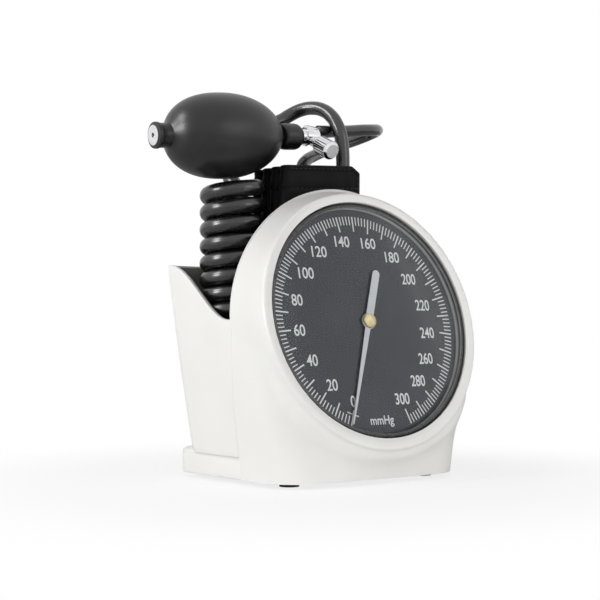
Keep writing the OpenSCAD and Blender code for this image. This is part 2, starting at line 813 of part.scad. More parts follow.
module pinion_shaft() {
    root = pinion_r - 0.45;
    color("goldenrod") dial_frame() {
        disc(arbor_r, plate_back - 0.2, pointer_rise + pointer_t + cap_h - 1);
        translate([0, 0, -pinion_back]) linear_extrude(pinion_t) {
            circle(r = root);
            teeth([for (k = [0:pinion_teeth - 1]) 360 * k / pinion_teeth - 90], root,
                pinion_r + 0.25, 0.52, 0.26);
        }
        disc(collet_r, spring_back, 0.6 - bridge_back);
    }
}

module sector_gear() {
    rest = 90 - sector_swing / 2;
    step = 360 / wheel_teeth;
    half_span = sector_swing / 2 + 6;
    count = floor((rest + half_span) / step) - ceil((rest - half_span) / step);
    first = 90 + step * 1.5;
    root = wheel_r - 0.45;
    color("goldenrod") dial_frame() translate([0, -gear_centres, 0]) {
        disc(arbor_r, finger_over_stem + 1.2, 0.2 - bridge_top);
        translate([0, 0, -sector_back]) linear_extrude(sector_t) {
            circle(r = 2.6);
            difference() {
                polygon(concat([[0, 0]], [for (k = [0:count])
                    root * [cos(first + step - step * k), sin(first + step - step * k)]]));
                polygon([for (p = [[6, 12], [16, half_span - 8], [16, 8 - half_span], [6, -12]])
                    p[0] * [cos(rest + p[1]), sin(rest + p[1])]]);
            }
            teeth([for (k = [0:count - 2]) first - step * k], root, wheel_r + 0.2, 0.52, 0.3);
        }
        ramp_finger();
    }
}

// Sloping finger under the base plate: its face rises over the stem as the sector swings
module ramp_finger() {
    slope = stem_lift / (2 * capsule_at[0] * sin(sector_swing / 2));
    rotate([0, 0, -sector_swing / 2]) hull() for (side = [-1, 1])
        translate([-0.6, side * finger_reach - finger_edge / 2,
            stem_lift / 2 - finger_over_stem - side * finger_reach * slope])
                cube([capsule_at[0] + 2.2, finger_edge, finger_t]);
}

module movement_base() {
    color("goldenrod") dial_frame() difference() {
        union() {
            translate([0, -can_drop, 0]) disc(plate_r, plate_back, -plate_top);
            at_legs() disc(leg_r, can_back - case_wall, -plate_back + 0.2);
        }
        disc(arbor_r + fit, plate_back + 1, 0);
        translate([0, -gear_centres, 0]) disc(arbor_r + fit, plate_back + 1, 0);
        for (at = pillar_at) translate([at[0], at[1], 0]) disc(pillar_stud_r + fit, plate_back + 1, 0);
        at_legs() disc(small_screw_r + fit, can_back, -can_back + case_wall + 6);
    }
}

module movement_bridge() {
    wide = pillar_at[1][0] + bridge_margin;
    low = pillar_at[1][1] - 2 * bridge_margin;
    shoulder = pillar_at[1][1] + bridge_margin;
    top = pillar_at[0][1] + bridge_margin;
    color("goldenrod") dial_frame() difference() {
        translate([0, 0, -bridge_back]) linear_extrude(plate_t)
            polygon([[-wide, low], [wide, low], [wide, shoulder], [1.5 * bridge_margin, top],
                [-1.5 * bridge_margin, top], [-wide, shoulder]]);
        disc(collet_r + 0.4, bridge_back + 1, 0);
        translate([0, -gear_centres, 0]) disc(arbor_r + fit, bridge_back + 1, 0);
        for (at = pillar_at) translate([at[0], at[1], 0]) disc(pillar_stud_r + fit, bridge_back + 1, 0);
    }
}

module movement_pillars() {
    color("silver") dial_frame() for (at = pillar_at) translate([at[0], at[1], 0]) {
        disc(pillar_r, plate_top, -bridge_back);
        disc(pillar_stud_r, plate_back + 0.2, 0.3 - bridge_top);
    }
}

module movement_screws() {
    color("silver") dial_frame() at_legs() translate([0, 0, -can_back])
        screw(small_screw_r, small_head_r, small_head_h, case_wall + 5);
}

// Flat spiral round the pinion's collet, pinned to a stud under the bridge
module hairspring() {
    steps = spring_turns * 24;
    grow = (spring_r - spring_in) / steps;
    color("silver") dial_frame() {
        translate([0, 0, -spring_back]) linear_extrude(spring_h)
            polygon(concat(
                [for (k = [0:steps]) (spring_in + grow * k) * [cos(15 * k), sin(15 * k)]],
                [for (k = [steps:-1:0]) (spring_in + spring_t + grow * k) * [cos(15 * k), sin(15 * k)]]));
        translate([spring_r + 0.1, 0, 0]) disc(0.5, spring_back, -bridge_back);
    }
}

module capsule() {
    half = capsule_t / 2;
    color("peru") dial_frame() translate([capsule_at[0], capsule_at[1], -capsule_back]) {
        rotate_extrude() polygon(concat(
            [[0, 0], [3, 0]],
            [for (k = [1:5]) [3 + (capsule_r - 3) * k / 6, 0.5 + 0.5 * (k % 2) + (half - 1.4) * k / 8]],
            [[capsule_r, half - 0.5], [capsule_r, half + 0.5]],
            [for (k = [5:-1:1]) [3 + (capsule_r - 3) * k / 6,
                capsule_t - 0.5 - 0.5 * (k % 2) - (half - 1.4) * k / 8]],
            [[3, capsule_t], [0, capsule_t]]));
        translate([0, 0, case_wall - can_back + capsule_back]) cylinder(h = 1, r = nipple_r + 1.5);
    }
}

module capsule_stem() {
    color("silver") dial_frame() translate([capsule_at[0], capsule_at[1], -stem_back]) {
        cylinder(h = stem_foot_t, r = stem_foot_r);
        cylinder(h = stem_len - stem_tip_h, r = stem_r);
        translate([0, 0, stem_len - stem_tip_h])
            cylinder(h = stem_tip_h, r1 = stem_r, r2 = stem_tip_r);
    }
}

// Elbow behind the gauge: straight out of the capsule, then down to the hose
module gauge_nipple() {
    color("goldenrod") dial_frame() translate([capsule_at[0], capsule_at[1], 0]) {
        disc(nipple_r, nipple_back + nipple_r, case_wall - can_back);
        translate([0, 0, -nipple_back]) rotate([90, 0, 0]) cylinder(h = nipple_end, r = nipple_r);
        disc(nipple_r + 1.5, can_back + 1.2, -can_back);
    }
}

module gauge_hose() {
    color("black") tube(gauge_hose_route, hose_r, tube_facets);
}

// Height along the coil, eased at both ends so that the straight ends clear the turns
function coil_height(a) = coil_z + coil_pitch * a / 360 + coil_growth / 2 * squared(a / 360)
    - coil_ease * squared(max(0, 1 - a / 90))
    + coil_ease * squared(max(0, 1 - (360 * coil_turns - a) / 90));
coil_axis = [-coil_x, coil_y, 0];
coil_route = concat(
    [coil_axis + [coil_r, -hose_d, coil_height(0)]],
    [for (k = [0:coil_turns * loop_rings]) let (a = 360 * k / loop_rings)
        coil_axis + [coil_r * cos(a), coil_r * sin(a), coil_height(a)]],
    [coil_axis + [coil_r, hose_d, coil_height(360 * coil_turns)]]);

// Least distance between the ring points of turns that lie side by side
function coil_gap() = let (pts = ring_points(coil_route, hose_r, hose_facets, [1, 0, 0]),
    n = hose_facets, last = len(coil_route) - 1)
    min([for (i = [0:last], j = [i + loop_rings - 4:min(last, i + loop_rings + 4)],
        a = [0:n - 1], b = [0:n - 1]) norm(pts[i * n + a] - pts[j * n + b])]);

module coil_hose() {
    echo(coil_least_gap = coil_gap());
    color("black") tube(coil_route, hose_r, hose_facets, [1, 0, 0]);
}

module coil_lead() {
    color("black") tube(coil_lead_route, hose_r, tube_facets);
}

module hose_connector() {
    along = connector_ends[1] - connector_ends[0];
    len = norm(along);
    color("black") translate(connector_ends[0])
        rotate([0, acos(along[2] / len), atan2(along[1], along[0])]) {
            cylinder(h = len * 0.45, r = connector_r);
            cylinder(h = len, r = connector_r - 0.7);
            translate([0, 0, len * 0.55]) cylinder(h = len * 0.45, r = connector_r);
        }
}

module bladder_tube() {
    color("black") tube(bladder_tube_route, bladder_tube_d / 2, tube_facets);
}

module inflation_tube() {
    color("black") tube(inflation_tube_route, inflation_tube_d / 2, tube_facets);
}

function layer_y(i) = cuff_front + layer_t / 2 + layer_pitch * i;

// Outline of a strip folded to and fro, of thickness t, over layers first to last
module folded_strip(first, last, t, left, right) {
    fold_left = fold_out - cuff_left;
    fold_right = cuff_right - fold_out;
    for (i = [first:last]) {
        turns_left = i % 2 == 0 ? i < last : i > first;
        turns_right = i % 2 == 0 ? i > first : i < last;
        from = turns_left ? fold_left : left;
        to = turns_right ? fold_right : right;
        translate([from, layer_y(i) - t / 2]) square([to - from, t]);
        if (i < last) translate([i % 2 == 0 ? fold_left : fold_right, layer_y(i) + layer_pitch / 2])
            mirror([i % 2 == 0 ? 1 : 0, 0]) intersection() {
                difference() {
                    circle(r = (layer_pitch + t) / 2, $fn = post_fn);
                    circle(r = (layer_pitch - t) / 2, $fn = post_fn);
                }
                translate([0, -layer_pitch]) square([layer_pitch, 2 * layer_pitch]);
            }
    }
}

// Space above the cuff's sloping top edge
module above_cuff(drop) {
    translate([-cuff_left, 0, cuff_bottom + cuff_h - drop]) rotate([0, -cuff_slope, 0])
        translate([-layer_t, cuff_front - layer_t, 0])
            cube([1.5 * fold_len, cuff_back - cuff_front + 2 * layer_t, 3 * cuff_climb]);
}

module bladder_pocket(t) {
    layer = layer_y(bladder_first);
    end = layer_y(bladder_last);
    translate([0, 0, cuff_bottom + bladder_margin - t / 2]) linear_extrude(cuff_h - 2 * bladder_margin + t)
        folded_strip(bladder_first, bladder_last, t, 0, cuff_right - bladder_margin + t / 2);
    for (neck = [[bladder_tube_route[len(bladder_tube_route) - 1][0] - neck_w, layer],
        [inflation_tube_route[len(inflation_tube_route) - 1][0], end]])
        translate([neck[0] - neck_w / 2, neck[1] - t / 2, cuff_bottom + cuff_h - bladder_margin - 1])
            cube([neck_w, t, bladder_margin - tube_depth + 0.2]);
}

module cuff() {
    color("#2a2a2c") difference() {
        translate([0, 0, cuff_bottom]) linear_extrude(cuff_h + 2 * cuff_climb)
            folded_strip(0, cuff_layers - 1, layer_t, -cuff_left, cuff_right);
        above_cuff(0);
        bladder_pocket(pocket_t);
        free_corner();
    }
}

// The cut corner at the top of the free end, on the front layer
module free_corner() {
    top = cuff_bottom + cuff_h + cuff_climb;
    translate([0, cuff_front + layer_t + 0.1, 0]) rotate([90, 0, 0]) linear_extrude(layer_t + 1)
        polygon([[cuff_right - corner_w, top + 1], [cuff_right + 1, top + 1],
            [cuff_right + 1, top - corner_h], [cuff_right, top - corner_h],
            [cuff_right - corner_w, top - corner_w * tan(cuff_slope)]]);
}

module bladder() {
    color("darkslategray") bladder_pocket(bladder_t);
}

module hook_patch() {
    color("black") translate([-patch_w / 2, cuff_back, cuff_bottom + (cuff_h - patch_h) / 2])
        cube([patch_w, patch_t, patch_h]);
}

// Radius of the bulb along its axis, for a wall drawn in by inset
function bulb_radius(s, inset) = s < bulb_belly
    ? oval_radius((bulb_belly - s) / (bulb_belly - bulb_start - inset), bulb_fullness, bulb_r - inset)
    : oval_radius((s - bulb_belly) / (collar_start + 2 - bulb_belly - inset), 2, bulb_r - inset);

module bulb_solid(inset, low_r, high_r, from, to) {
    rotate([0, 90, 0]) rotate_extrude() polygon(concat(
        [[0, from]],
        [for (k = [0:30]) let (s = from + (to - from) * k / 30)
            [max(s < bulb_belly ? low_r : high_r, bulb_radius(s, inset)), s]],
        [[0, to]]));
}

module bulb() {
    bulb_end = collar_start + 4;
    color("#3a3a3c") bulb_frame() difference() {
        union() {
            bulb_solid(0, neck_r, collar_r - 2.6, 0, bulb_end);
            rotate([0, 90, 0]) rotate_extrude() {
                polygon([[0, 0], [bead_r - 0.6, 0], [bead_r, 0.6], [bead_r, 2.4],
                    [bead_r - 0.6, 3], [0, 3]]);
                polygon([[0, collar_start], [collar_r - 1.4, collar_start], [collar_r, collar_start + 2.2],
                    [collar_r, bulb_len - 3], [collar_r - 1, bulb_len - 1], [collar_r - 2.8, bulb_len],
                    [0, bulb_len]]);
            }
        }
        bulb_solid(bulb_wall, 0, 0, bulb_start + bulb_wall + 0.2, collar_start + 1.5 - bulb_wall);
        rotate([0, 90, 0]) {
            translate([0, 0, -1]) cylinder(h = bulb_start + 8, r = inlet_plug_r + fit);
            translate([0, 0, -1]) cylinder(h = 1 + disc_seat, r = inlet_r + fit);
            translate([0, 0, collar_start - 8]) cylinder(h = bulb_len - collar_start + 9, r = plug_r + fit);
        }
    }
}

module inlet_valve() {
    color("gainsboro") bulb_frame() rotate([0, 90, 0]) difference() {
        union() {
            translate([0, 0, -disc_proud]) cylinder(h = disc_proud + disc_seat, r = inlet_r);
            cylinder(h = inlet_len, r = inlet_plug_r);
        }
        translate([0, 0, -2]) cylinder(h = seat_depth + 3, r = seat_hole_r);
        translate([0, 0, seat_depth]) cylinder(h = ball_rest - seat_depth + ball_r + ball_travel + 0.1,
            r = chamber_r);
        translate([0, 0, seat_depth]) cylinder(h = inlet_len, r = ball_r - 0.7);
    }
}

module inlet_ball() {
    color("silver") bulb_frame() translate([ball_rest, 0, 0]) sphere(r = ball_r);
}

module release_valve() {
    color("gainsboro") difference() {
        union() {
            bulb_frame() rotate([0, 90, 0]) {
                translate([0, 0, bulb_len - plug_len]) cylinder(h = plug_len + 1, r = plug_r);
                translate([0, 0, bulb_len]) cylinder(h = 1.2, r = block_r + 0.8);
                translate([0, 0, bulb_len]) cylinder(h = block_len + 1.2, r = block_r);
            }
            translate([outlet_at[0] + 1, bulb_at[1], outlet_at[1]]) rotate([0, 90, 0])
                cylinder(h = outlet_len - 1, r1 = outlet_r[0], r2 = outlet_r[1]);
            thumb_frame() cylinder(h = boss_end, r = thumb_boss_r);
        }
        thumb_frame() translate([0, 0, -1]) cylinder(h = boss_end + 2, r = spindle_r + fit);
        bulb_frame() rotate([0, 90, 0]) translate([0, 0, bulb_len - plug_len - 1])
            cylinder(h = plug_len + 4, r = air_r);
        translate([outlet_at[0] + 4, bulb_at[1], outlet_at[1]]) rotate([0, 90, 0])
            cylinder(h = outlet_len, r = air_r);
    }
}

module thumb_screw() {
    head = boss_end + 1;
    color("gainsboro") thumb_frame() {
        translate([0, 0, -0.8]) cylinder(h = head + 1.8, r = spindle_r);
        translate([0, 0, head]) linear_extrude(thumb_len - 2) difference() {
            circle(r = thumb_r);
            for (k = [0:thumb_knurls - 1]) rotate([0, 0, 360 * k / thumb_knurls])
                translate([thumb_r + 0.1, 0]) circle(r = 0.45, $fn = 8);
        }
        translate([0, 0, head + thumb_len - 2 - eps])
            cylinder(h = 2, r1 = thumb_r - 0.4, r2 = thumb_r - 1.8);
    }
}

place() front_shell();
place() rear_basket();
place() basket_liner();
place() base_plate();
place() rubber_feet();
place() wall_screws();
place() base_screws();
place() gauge_case();
place() case_screws();
place() dial_plate();
place() bevel_ring();
place() lens();
place() bezel_ring();
place() pointer();
place() pointer_cap();
place() pinion_shaft();
place() sector_gear();
place() movement_base();
place() movement_bridge();
place() movement_pillars();
place() movement_screws();
place() hairspring();
place() capsule();
place() capsule_stem();
place() gauge_nipple();
place() gauge_hose();
place() coil_hose();
place() coil_lead();
place() hose_connector();
place() bladder_tube();
place() inflation_tube();
place() cuff();
place() bladder();
place() hook_patch();
place() bulb();
place() inlet_valve();
place() inlet_ball();
place() release_valve();
place() thumb_screw();
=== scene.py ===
from math import cos, hypot, pi, radians, sin, sqrt, tan

import bmesh
import bpy
from mathutils import Matrix, Vector, noise
from mathutils.bvhtree import BVHTree


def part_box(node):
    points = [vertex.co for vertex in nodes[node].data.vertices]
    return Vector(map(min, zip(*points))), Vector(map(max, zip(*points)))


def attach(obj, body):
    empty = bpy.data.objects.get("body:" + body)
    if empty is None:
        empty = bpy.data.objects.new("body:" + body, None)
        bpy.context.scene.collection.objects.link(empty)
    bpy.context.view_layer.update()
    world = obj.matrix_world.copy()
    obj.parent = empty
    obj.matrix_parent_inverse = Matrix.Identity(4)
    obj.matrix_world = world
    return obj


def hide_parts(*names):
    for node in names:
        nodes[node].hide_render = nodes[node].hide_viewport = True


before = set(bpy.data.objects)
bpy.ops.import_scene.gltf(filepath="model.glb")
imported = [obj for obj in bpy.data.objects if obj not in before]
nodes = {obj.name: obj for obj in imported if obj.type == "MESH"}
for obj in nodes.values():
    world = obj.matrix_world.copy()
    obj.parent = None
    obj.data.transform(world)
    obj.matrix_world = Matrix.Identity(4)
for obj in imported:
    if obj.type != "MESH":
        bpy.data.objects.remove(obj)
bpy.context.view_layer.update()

# the housing's own frame: x = 0 on its middle plane, y = 0 at the dial's centre, z = 0 on the table
seamY = 0.029          # rear end of the front shell
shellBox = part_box("front_shell")
middle = Vector(((shellBox[0].x + shellBox[1].x) / 2, shellBox[1].y - seamY, 0))


def at(x, y, z):
    return middle + Vector((x, y, z))


def shareOf(value, low, high):
    # 0 at low, 1 at high, eased at both ends
    t = min(1, max(0, (value - low) / (high - low)))
    return t * t * (3 - 2 * t)


def between(pairs, x):
    # a smooth curve through rows of (x, values...), read at x
    rows = sorted(pairs)
    x = min(rows[-1][0], max(rows[0][0], x))
    i = max(k for k in range(len(rows) - 1) if rows[k][0] <= x)
    last = len(rows) - 1

    def slope(k, c):
        a, b = rows[max(0, k - 1)], rows[min(last, k + 1)]
        return (b[c] - a[c]) / (b[0] - a[0])

    step = rows[i + 1][0] - rows[i][0]
    t = (x - rows[i][0]) / step
    return [(2 * t**3 - 3 * t**2 + 1) * rows[i][c] + (t**3 - 2 * t**2 + t) * step * slope(i, c)
            + (3 * t**2 - 2 * t**3) * rows[i + 1][c] + (t**3 - t**2) * step * slope(i + 1, c)
            for c in range(1, len(rows[0]))]


# camera: 27 degrees of view, a little below the middle of the dial and to its left
cameraFacts = dict(lens=75, sensor=36, place=(-0.46356, -0.64305, 0.09133), azimuth=-35.418, rise=1.5)


def makeCamera(facts):
    data = bpy.data.cameras.new("camera")
    data.lens = facts["lens"]
    data.sensor_width = facts["sensor"]
    camera = bpy.data.objects.new("camera", data)
    camera.location = facts["place"]
    camera.rotation_euler = (radians(90 + facts["rise"]), 0, radians(facts["azimuth"]))
    bpy.context.scene.collection.objects.link(camera)
    bpy.context.scene.camera = camera


makeCamera(cameraFacts)
print("camera in place")


# finishes: patterns are sums of wires, and each wire is one output of a shader node
class Wire:
    def __init__(self, finish, socket):
        self.finish, self.socket = finish, socket

    def sum(self, operation, first, second):
        return self.finish.node("ShaderNodeMath", {"operation": operation}, {0: first, 1: second})

    def __add__(self, other):
        return self.sum("ADD", self, other)

    def __sub__(self, other):
        return self.sum("SUBTRACT", self, other)

    def __rsub__(self, other):
        return self.sum("SUBTRACT", other, self)

    def __mul__(self, other):
        return self.sum("MULTIPLY", self, other)

    __radd__ = __add__
    __rmul__ = __mul__


class Finish:
    def __init__(self, name, owners=bpy.data.materials):
        self.owner = owners.new(name)
        self.owner.use_nodes = True
        self.tree = self.owner.node_tree
        self.tree.nodes.clear()
        self.place = self.node("ShaderNodeTexCoord", output="Object")

    def node(self, kind, settings=None, sockets=None, output=0):
        made = self.tree.nodes.new(kind)
        for name, value in (settings or {}).items():
            if name == "stops":
                for k, (position, shade) in enumerate(value):
                    stop = made.color_ramp.elements[k] if k < 2 else made.color_ramp.elements.new(position)
                    stop.position, stop.color = position, shade
            else:
                setattr(made, name, value)
        for name, value in (sockets or {}).items():
            if isinstance(value, Wire):
                self.tree.links.new(value.socket, made.inputs[name])
            else:
                made.inputs[name].default_value = value
        return Wire(self, made.outputs[output])

    def noise(self, size, detail=3, stretch=None, place=None):
        # size is the pattern's grain in metres
        source = place or self.place
        if stretch:
            source = self.node("ShaderNodeMapping", None, {"Vector": source, "Scale": stretch})
        return self.node("ShaderNodeTexNoise", None, {"Vector": source, "Scale": 1 / size, "Detail": detail})

    def spread(self, wire, low, high, fromLow=0.3, fromHigh=0.7):
        return self.node("ShaderNodeMapRange", {"interpolation_type": "SMOOTHSTEP"}, {
            "Value": wire, "From Min": fromLow, "From Max": fromHigh, "To Min": low, "To Max": high})

    def mix(self, factor, first, second):
        return self.node("ShaderNodeMix", {"data_type": "RGBA"}, {0: factor, 6: rgba(first), 7: rgba(second)},
                         output=2)

    def axis(self, name, place=None):
        return self.node("ShaderNodeSeparateXYZ", None, {0: place or self.place}, output=name)

    def bump(self, height, distance, strength=1.0):
        return self.node("ShaderNodeBump", None, {
            "Height": height, "Distance": distance, "Strength": strength})

    def end(self, surface, kind="ShaderNodeOutputMaterial"):
        out = self.tree.nodes.new(kind)
        self.tree.links.new(surface.socket, out.inputs["Surface"])
        return self.owner

    def shade(self, colour, roughness, normal=None, **fixed):
        sockets = {"Base Color": rgba(colour), "Roughness": roughness}
        if normal is not None:
            sockets["Normal"] = normal
        for name, value in fixed.items():
            sockets[socketNames[name]] = value
        return self.end(self.node("ShaderNodeBsdfPrincipled", None, sockets))


socketNames = dict(metallic="Metallic", coat="Coat Weight", coatRoughness="Coat Roughness", ior="IOR",
                   sheen="Sheen Weight", sheenRoughness="Sheen Roughness", specular="Specular IOR Level",
                   scatter="Subsurface Weight", scatterDepth="Subsurface Scale")


def rgba(colour):
    # a grey may be given as one number
    if isinstance(colour, (int, float)):
        colour = (colour, colour, colour)
    return colour if isinstance(colour, Wire) or len(colour) == 4 else (*colour, 1)


def grainFinish(name, colour, second, patch, rough, grain, depth, scratch=None, scratchRough=0, **fixed):
    # soft patches of two colours, a fine grain and, on metal, small scratches; sizes in millimetres
    finish = Finish(name)
    patches = finish.noise(patch / 1000, 4)
    height = finish.noise(grain / 1000, 2)
    shade = finish.mix(finish.spread(patches, 0, 1), colour, second)
    roughness = finish.spread(patches, *rough)
    if scratch:
        lines = finish.noise(grain / 250, 3, stretch=scratch)
        roughness = roughness + finish.spread(lines, 0, scratchRough, 0.55, 0.75)
        height = height + lines * 0.6
    return finish.shade(shade, roughness, finish.bump(height, depth / 1000), **fixed)


# colour, second colour, patch, roughness, grain, depth of the grain
shellPlastic = ((0.80, 0.795, 0.775), (0.775, 0.77, 0.75), 45, (0.36, 0.44), 0.5, 0.02)
plainFinishes = dict(
    # the liner's dark grey is painted shade on the basket's white inner walls
    linerPaintedShade=((0.2, 0.196, 0.19), (0.24, 0.235, 0.225), 20, (0.6, 0.75), 0.7, 0.06),
    footRubber=(0.02, (0.035, 0.035, 0.033), 4, (0.7, 0.85), 0.4, 0.04),
    pointerPaint=((0.6, 0.6, 0.62), (0.56, 0.56, 0.58), 8, (0.3, 0.42), 0.3, 0.01),
    connectorPlastic=(0.015, 0.025, 6, (0.4, 0.5), 0.4, 0.02),
    bladderRubber=((0.05, 0.055, 0.055), (0.07, 0.075, 0.075), 15, (0.6, 0.7), 0.6, 0.04),
    thread=((0.02, 0.02, 0.021), (0.035, 0.035, 0.036), 3, (0.55, 0.7), 0.3, 0.03),
    hookNylon=((0.012, 0.012, 0.0125), 0.022, 10, (0.4, 0.55), 0.5, 0.04),
    bulbRubber=((0.003, 0.003, 0.0032), (0.007, 0.007, 0.0073), 20, (0.32, 0.4), 0.7, 0.04))
glossyRubbers = dict(
    hoseRubber=(0.003, (0.007, 0.0068, 0.0068), 12, (0.23, 0.3), 0.6, 0.02),
    tubeRubber=((0.008, 0.008, 0.0085), (0.014, 0.014, 0.0145), 10, (0.2, 0.26), 0.5, 0.02))
plainMetals = dict(
    springSteel=((0.35, 0.38, 0.45), (0.28, 0.3, 0.38), 2, (0.2, 0.3), 0.2, 0.005),
    chromePlate=((0.78, 0.78, 0.79), (0.70, 0.70, 0.72), 4, (0.07, 0.14), 0.4, 0.006))
# the scratches' stretch and roughness follow
scratchedMetals = dict(
    screwSteel=((0.56, 0.56, 0.55), (0.44, 0.44, 0.43), 2, (0.25, 0.4), 0.2, 0.01, (1, 1, 6), 0.15),
    caseMetal=((0.52, 0.53, 0.54), (0.44, 0.45, 0.46), 12, (0.3, 0.45), 0.4, 0.02, (1, 5, 1), 0.12),
    capBrass=((0.68, 0.58, 0.36), (0.60, 0.50, 0.29), 3, (0.42, 0.55), 0.2, 0.01, (1, 1, 4), 0.1),
    gearBrass=((0.72, 0.55, 0.28), (0.60, 0.44, 0.2), 6, (0.25, 0.4), 0.3, 0.01, (4, 1, 1), 0.15),
    capsuleBronze=((0.66, 0.42, 0.26), (0.55, 0.33, 0.2), 6, (0.25, 0.4), 0.3, 0.01, (1, 5, 1), 0.1))

finishes = dict(
    shellPlastic=grainFinish("shellPlastic", *shellPlastic, coat=0.08, coatRoughness=0.25),
    baseSheet=grainFinish("baseSheet", (0.42, 0.42, 0.41), (0.36, 0.36, 0.35), 20, (0.35, 0.5), 0.6, 0.02,
                          metallic=0.6))
for rows, fixed in ((plainFinishes, {}), (glossyRubbers, {"specular": 0.8}), (plainMetals, {"metallic": 1.0}),
                    (scratchedMetals, {"metallic": 1.0})):
    finishes.update({name: grainFinish(name, *row, **fixed) for name, row in rows.items()})
print("plain finishes made:", len(finishes))


def newObject(name, bm, sharp=40):
    mesh = bpy.data.meshes.new(name)
    bm.to_mesh(mesh)
    bm.free()
    mesh.shade_smooth()
    mesh.set_sharp_from_angle(angle=radians(sharp))
    piece = bpy.data.objects.new(name, mesh)
    bpy.context.scene.collection.objects.link(piece)
    return piece


def settle(piece, finish, replaced=()):
    # gives a finished piece its material and its place on the housing, and hides the nodes that it stands for
    piece.data.materials.clear()
    piece.data.materials.append(finish)
    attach(piece, "housing")
    if replaced:
        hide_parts(*replaced)
    return piece


def applied(piece):
    # the piece's mesh with its modifiers worked in
    shown = piece.evaluated_get(bpy.context.evaluated_depsgraph_get())
    mesh = bpy.data.meshes.new_from_object(shown)
    piece.modifiers.clear()
    piece.data = mesh
    return piece


def modifier(piece, kind, **settings):
    made = piece.modifiers.new(kind.lower(), kind)
    for name, value in settings.items():
        setattr(made, name, value)
    return made


def outward(bm):
    bmesh.ops.recalc_face_normals(bm, faces=bm.faces)
    return bm


def slab(corners, rise):
    # a flat outline given thickness along rise
    bm = bmesh.new()
    bm.faces.new([bm.verts.new(corner) for corner in corners])
    lifted = bmesh.ops.extrude_face_region(bm, geom=bm.faces[:])
    bmesh.ops.translate(bm, verts=[v for v in lifted["geom"] if isinstance(v, bmesh.types.BMVert)], vec=rise)
    return outward(bm)


def ringEdges(bm, radius, place, count=256):
    made = bmesh.ops.create_circle(bm, cap_ends=False, radius=radius, segments=count, matrix=place)
    return list({e for v in made["verts"] for e in v.link_edges})


def lofted(bm, rings):
    # a closed skin over rings of edges
    for first, second in zip(rings, rings[1:]):
        bmesh.ops.bridge_loops(bm, edges=first + second)
    for ring in (rings[0], rings[-1]):
        bmesh.ops.contextual_create(bm, geom=ring)
    return outward(bm)


def bmeshOf(mesh):
    bm = bmesh.new()
    bm.from_mesh(mesh)
    return bm


def skin(columns, rows, where):
    # a grid whose two shares, each 0 to 1, are taken to a place by where
    bm = bmesh.new()
    bm.loops.layers.uv.new("UVMap")
    bmesh.ops.create_grid(bm, x_segments=columns, y_segments=rows, size=1, calc_uvs=True)
    for v in bm.verts:
        v.co = where((v.co.x + 1) / 2, (v.co.y + 1) / 2)
    return bm


def turned(profile, place, steps=160):
    # an outline of (radius, height) pairs spun once round the place's own z axis
    bm = bmesh.new()
    verts = [bm.verts.new((r, 0, h)) for r, h in profile]
    edges = [bm.edges.new(pair) for pair in zip(verts, verts[1:])]
    bmesh.ops.spin(bm, geom=verts + edges, cent=(0, 0, 0), axis=(0, 0, 1), angle=2 * pi, steps=steps,
                   use_merge=True)
    bmesh.ops.remove_doubles(bm, verts=bm.verts, dist=1e-6)
    outward(bm).transform(place)
    return bm


def joined(parts):
    whole = bmesh.new()
    for part in parts:
        mesh = bpy.data.meshes.new("part")
        part.to_mesh(mesh)
        part.free()
        whole.from_mesh(mesh)
        bpy.data.meshes.remove(mesh)
    return whole


def arc(cx, cy, r, start, end, steps):
    angles = [radians(start + (end - start) * k / steps) for k in range(steps + 1)]
    return [(cx + r * cos(a), cy + r * sin(a)) for a in angles]


# hoses and tubes: the routes are those of the part's source, in metres in the housing's frame
hoseFacts = dict(
    diameter=0.010, coilAxis=(-0.0551, 0.0673), coilRadius=0.0159, coilStart=0.0578, pitch=0.0102,
    growth=0.00006, turns=12, ease=0.0005, perTurn=24, length=1.41,
    toCoil=[(4.5, 16.7, 48.5), (4.5, 15.2, 42.5), (1, 13, 35.5), (-9, 10.5, 29.5), (-21, 8, 28.5),
            (-32, 5.5, 33), (-39, 5, 41.5), (-40.4, 8.5, 50.5), (-39.8, 15, 56.2), (-39.2, 22, 57.3),
            (-39.2, 40, 57.3), (-39.2, 57.3, 57.3)],
    fromCoil=[(-39.2, 77.3, 185.02), (-39.2, 81.5, 185.02), (-39.8, 88, 187.6), (-40.5, 93, 193),
              (-40.8, 96.2, 200.5), (-40.5, 98.5, 209), (-37.5, 97.8, 217), (-32, 95.5, 221.7),
              (-26, 94.5, 224.4)])
bladderTubeFacts = dict(
    diameter=0.0088, length=0.092,
    route=[(-8, 93.1, 232.1), (0, 92.4, 235.5), (5, 90, 239), (10, 84.5, 242.2), (14, 77.5, 243),
           (17, 69, 240.8), (18.5, 61, 235.5), (19.5, 56, 229), (20.5, 53.5, 222), (21.5, 53, 214),
           (22, 53, 205), (22, 53.3, 196.5)])
inflationTubeFacts = dict(
    diameter=0.0078, length=0.181,
    route=[(8, 62, 224.5), (14, 62.8, 225.1), (22, 65.5, 226.3), (32, 68, 227.6), (42, 69.5, 229),
           (52, 71, 230.6), (63, 74, 232.2), (73, 80.5, 234), (78.5, 88, 234.6), (77.5, 94.5, 233),
           (70, 97.5, 229.6), (60, 96.5, 226), (48, 93, 222), (32, 86.5, 216.5), (17, 79, 211), (6, 73, 206),
           (1, 70, 201.5), (0, 68.3, 196.5)])
skinShare = 1.04          # the drawn skin is 4 % fuller, so that the turns nearly touch


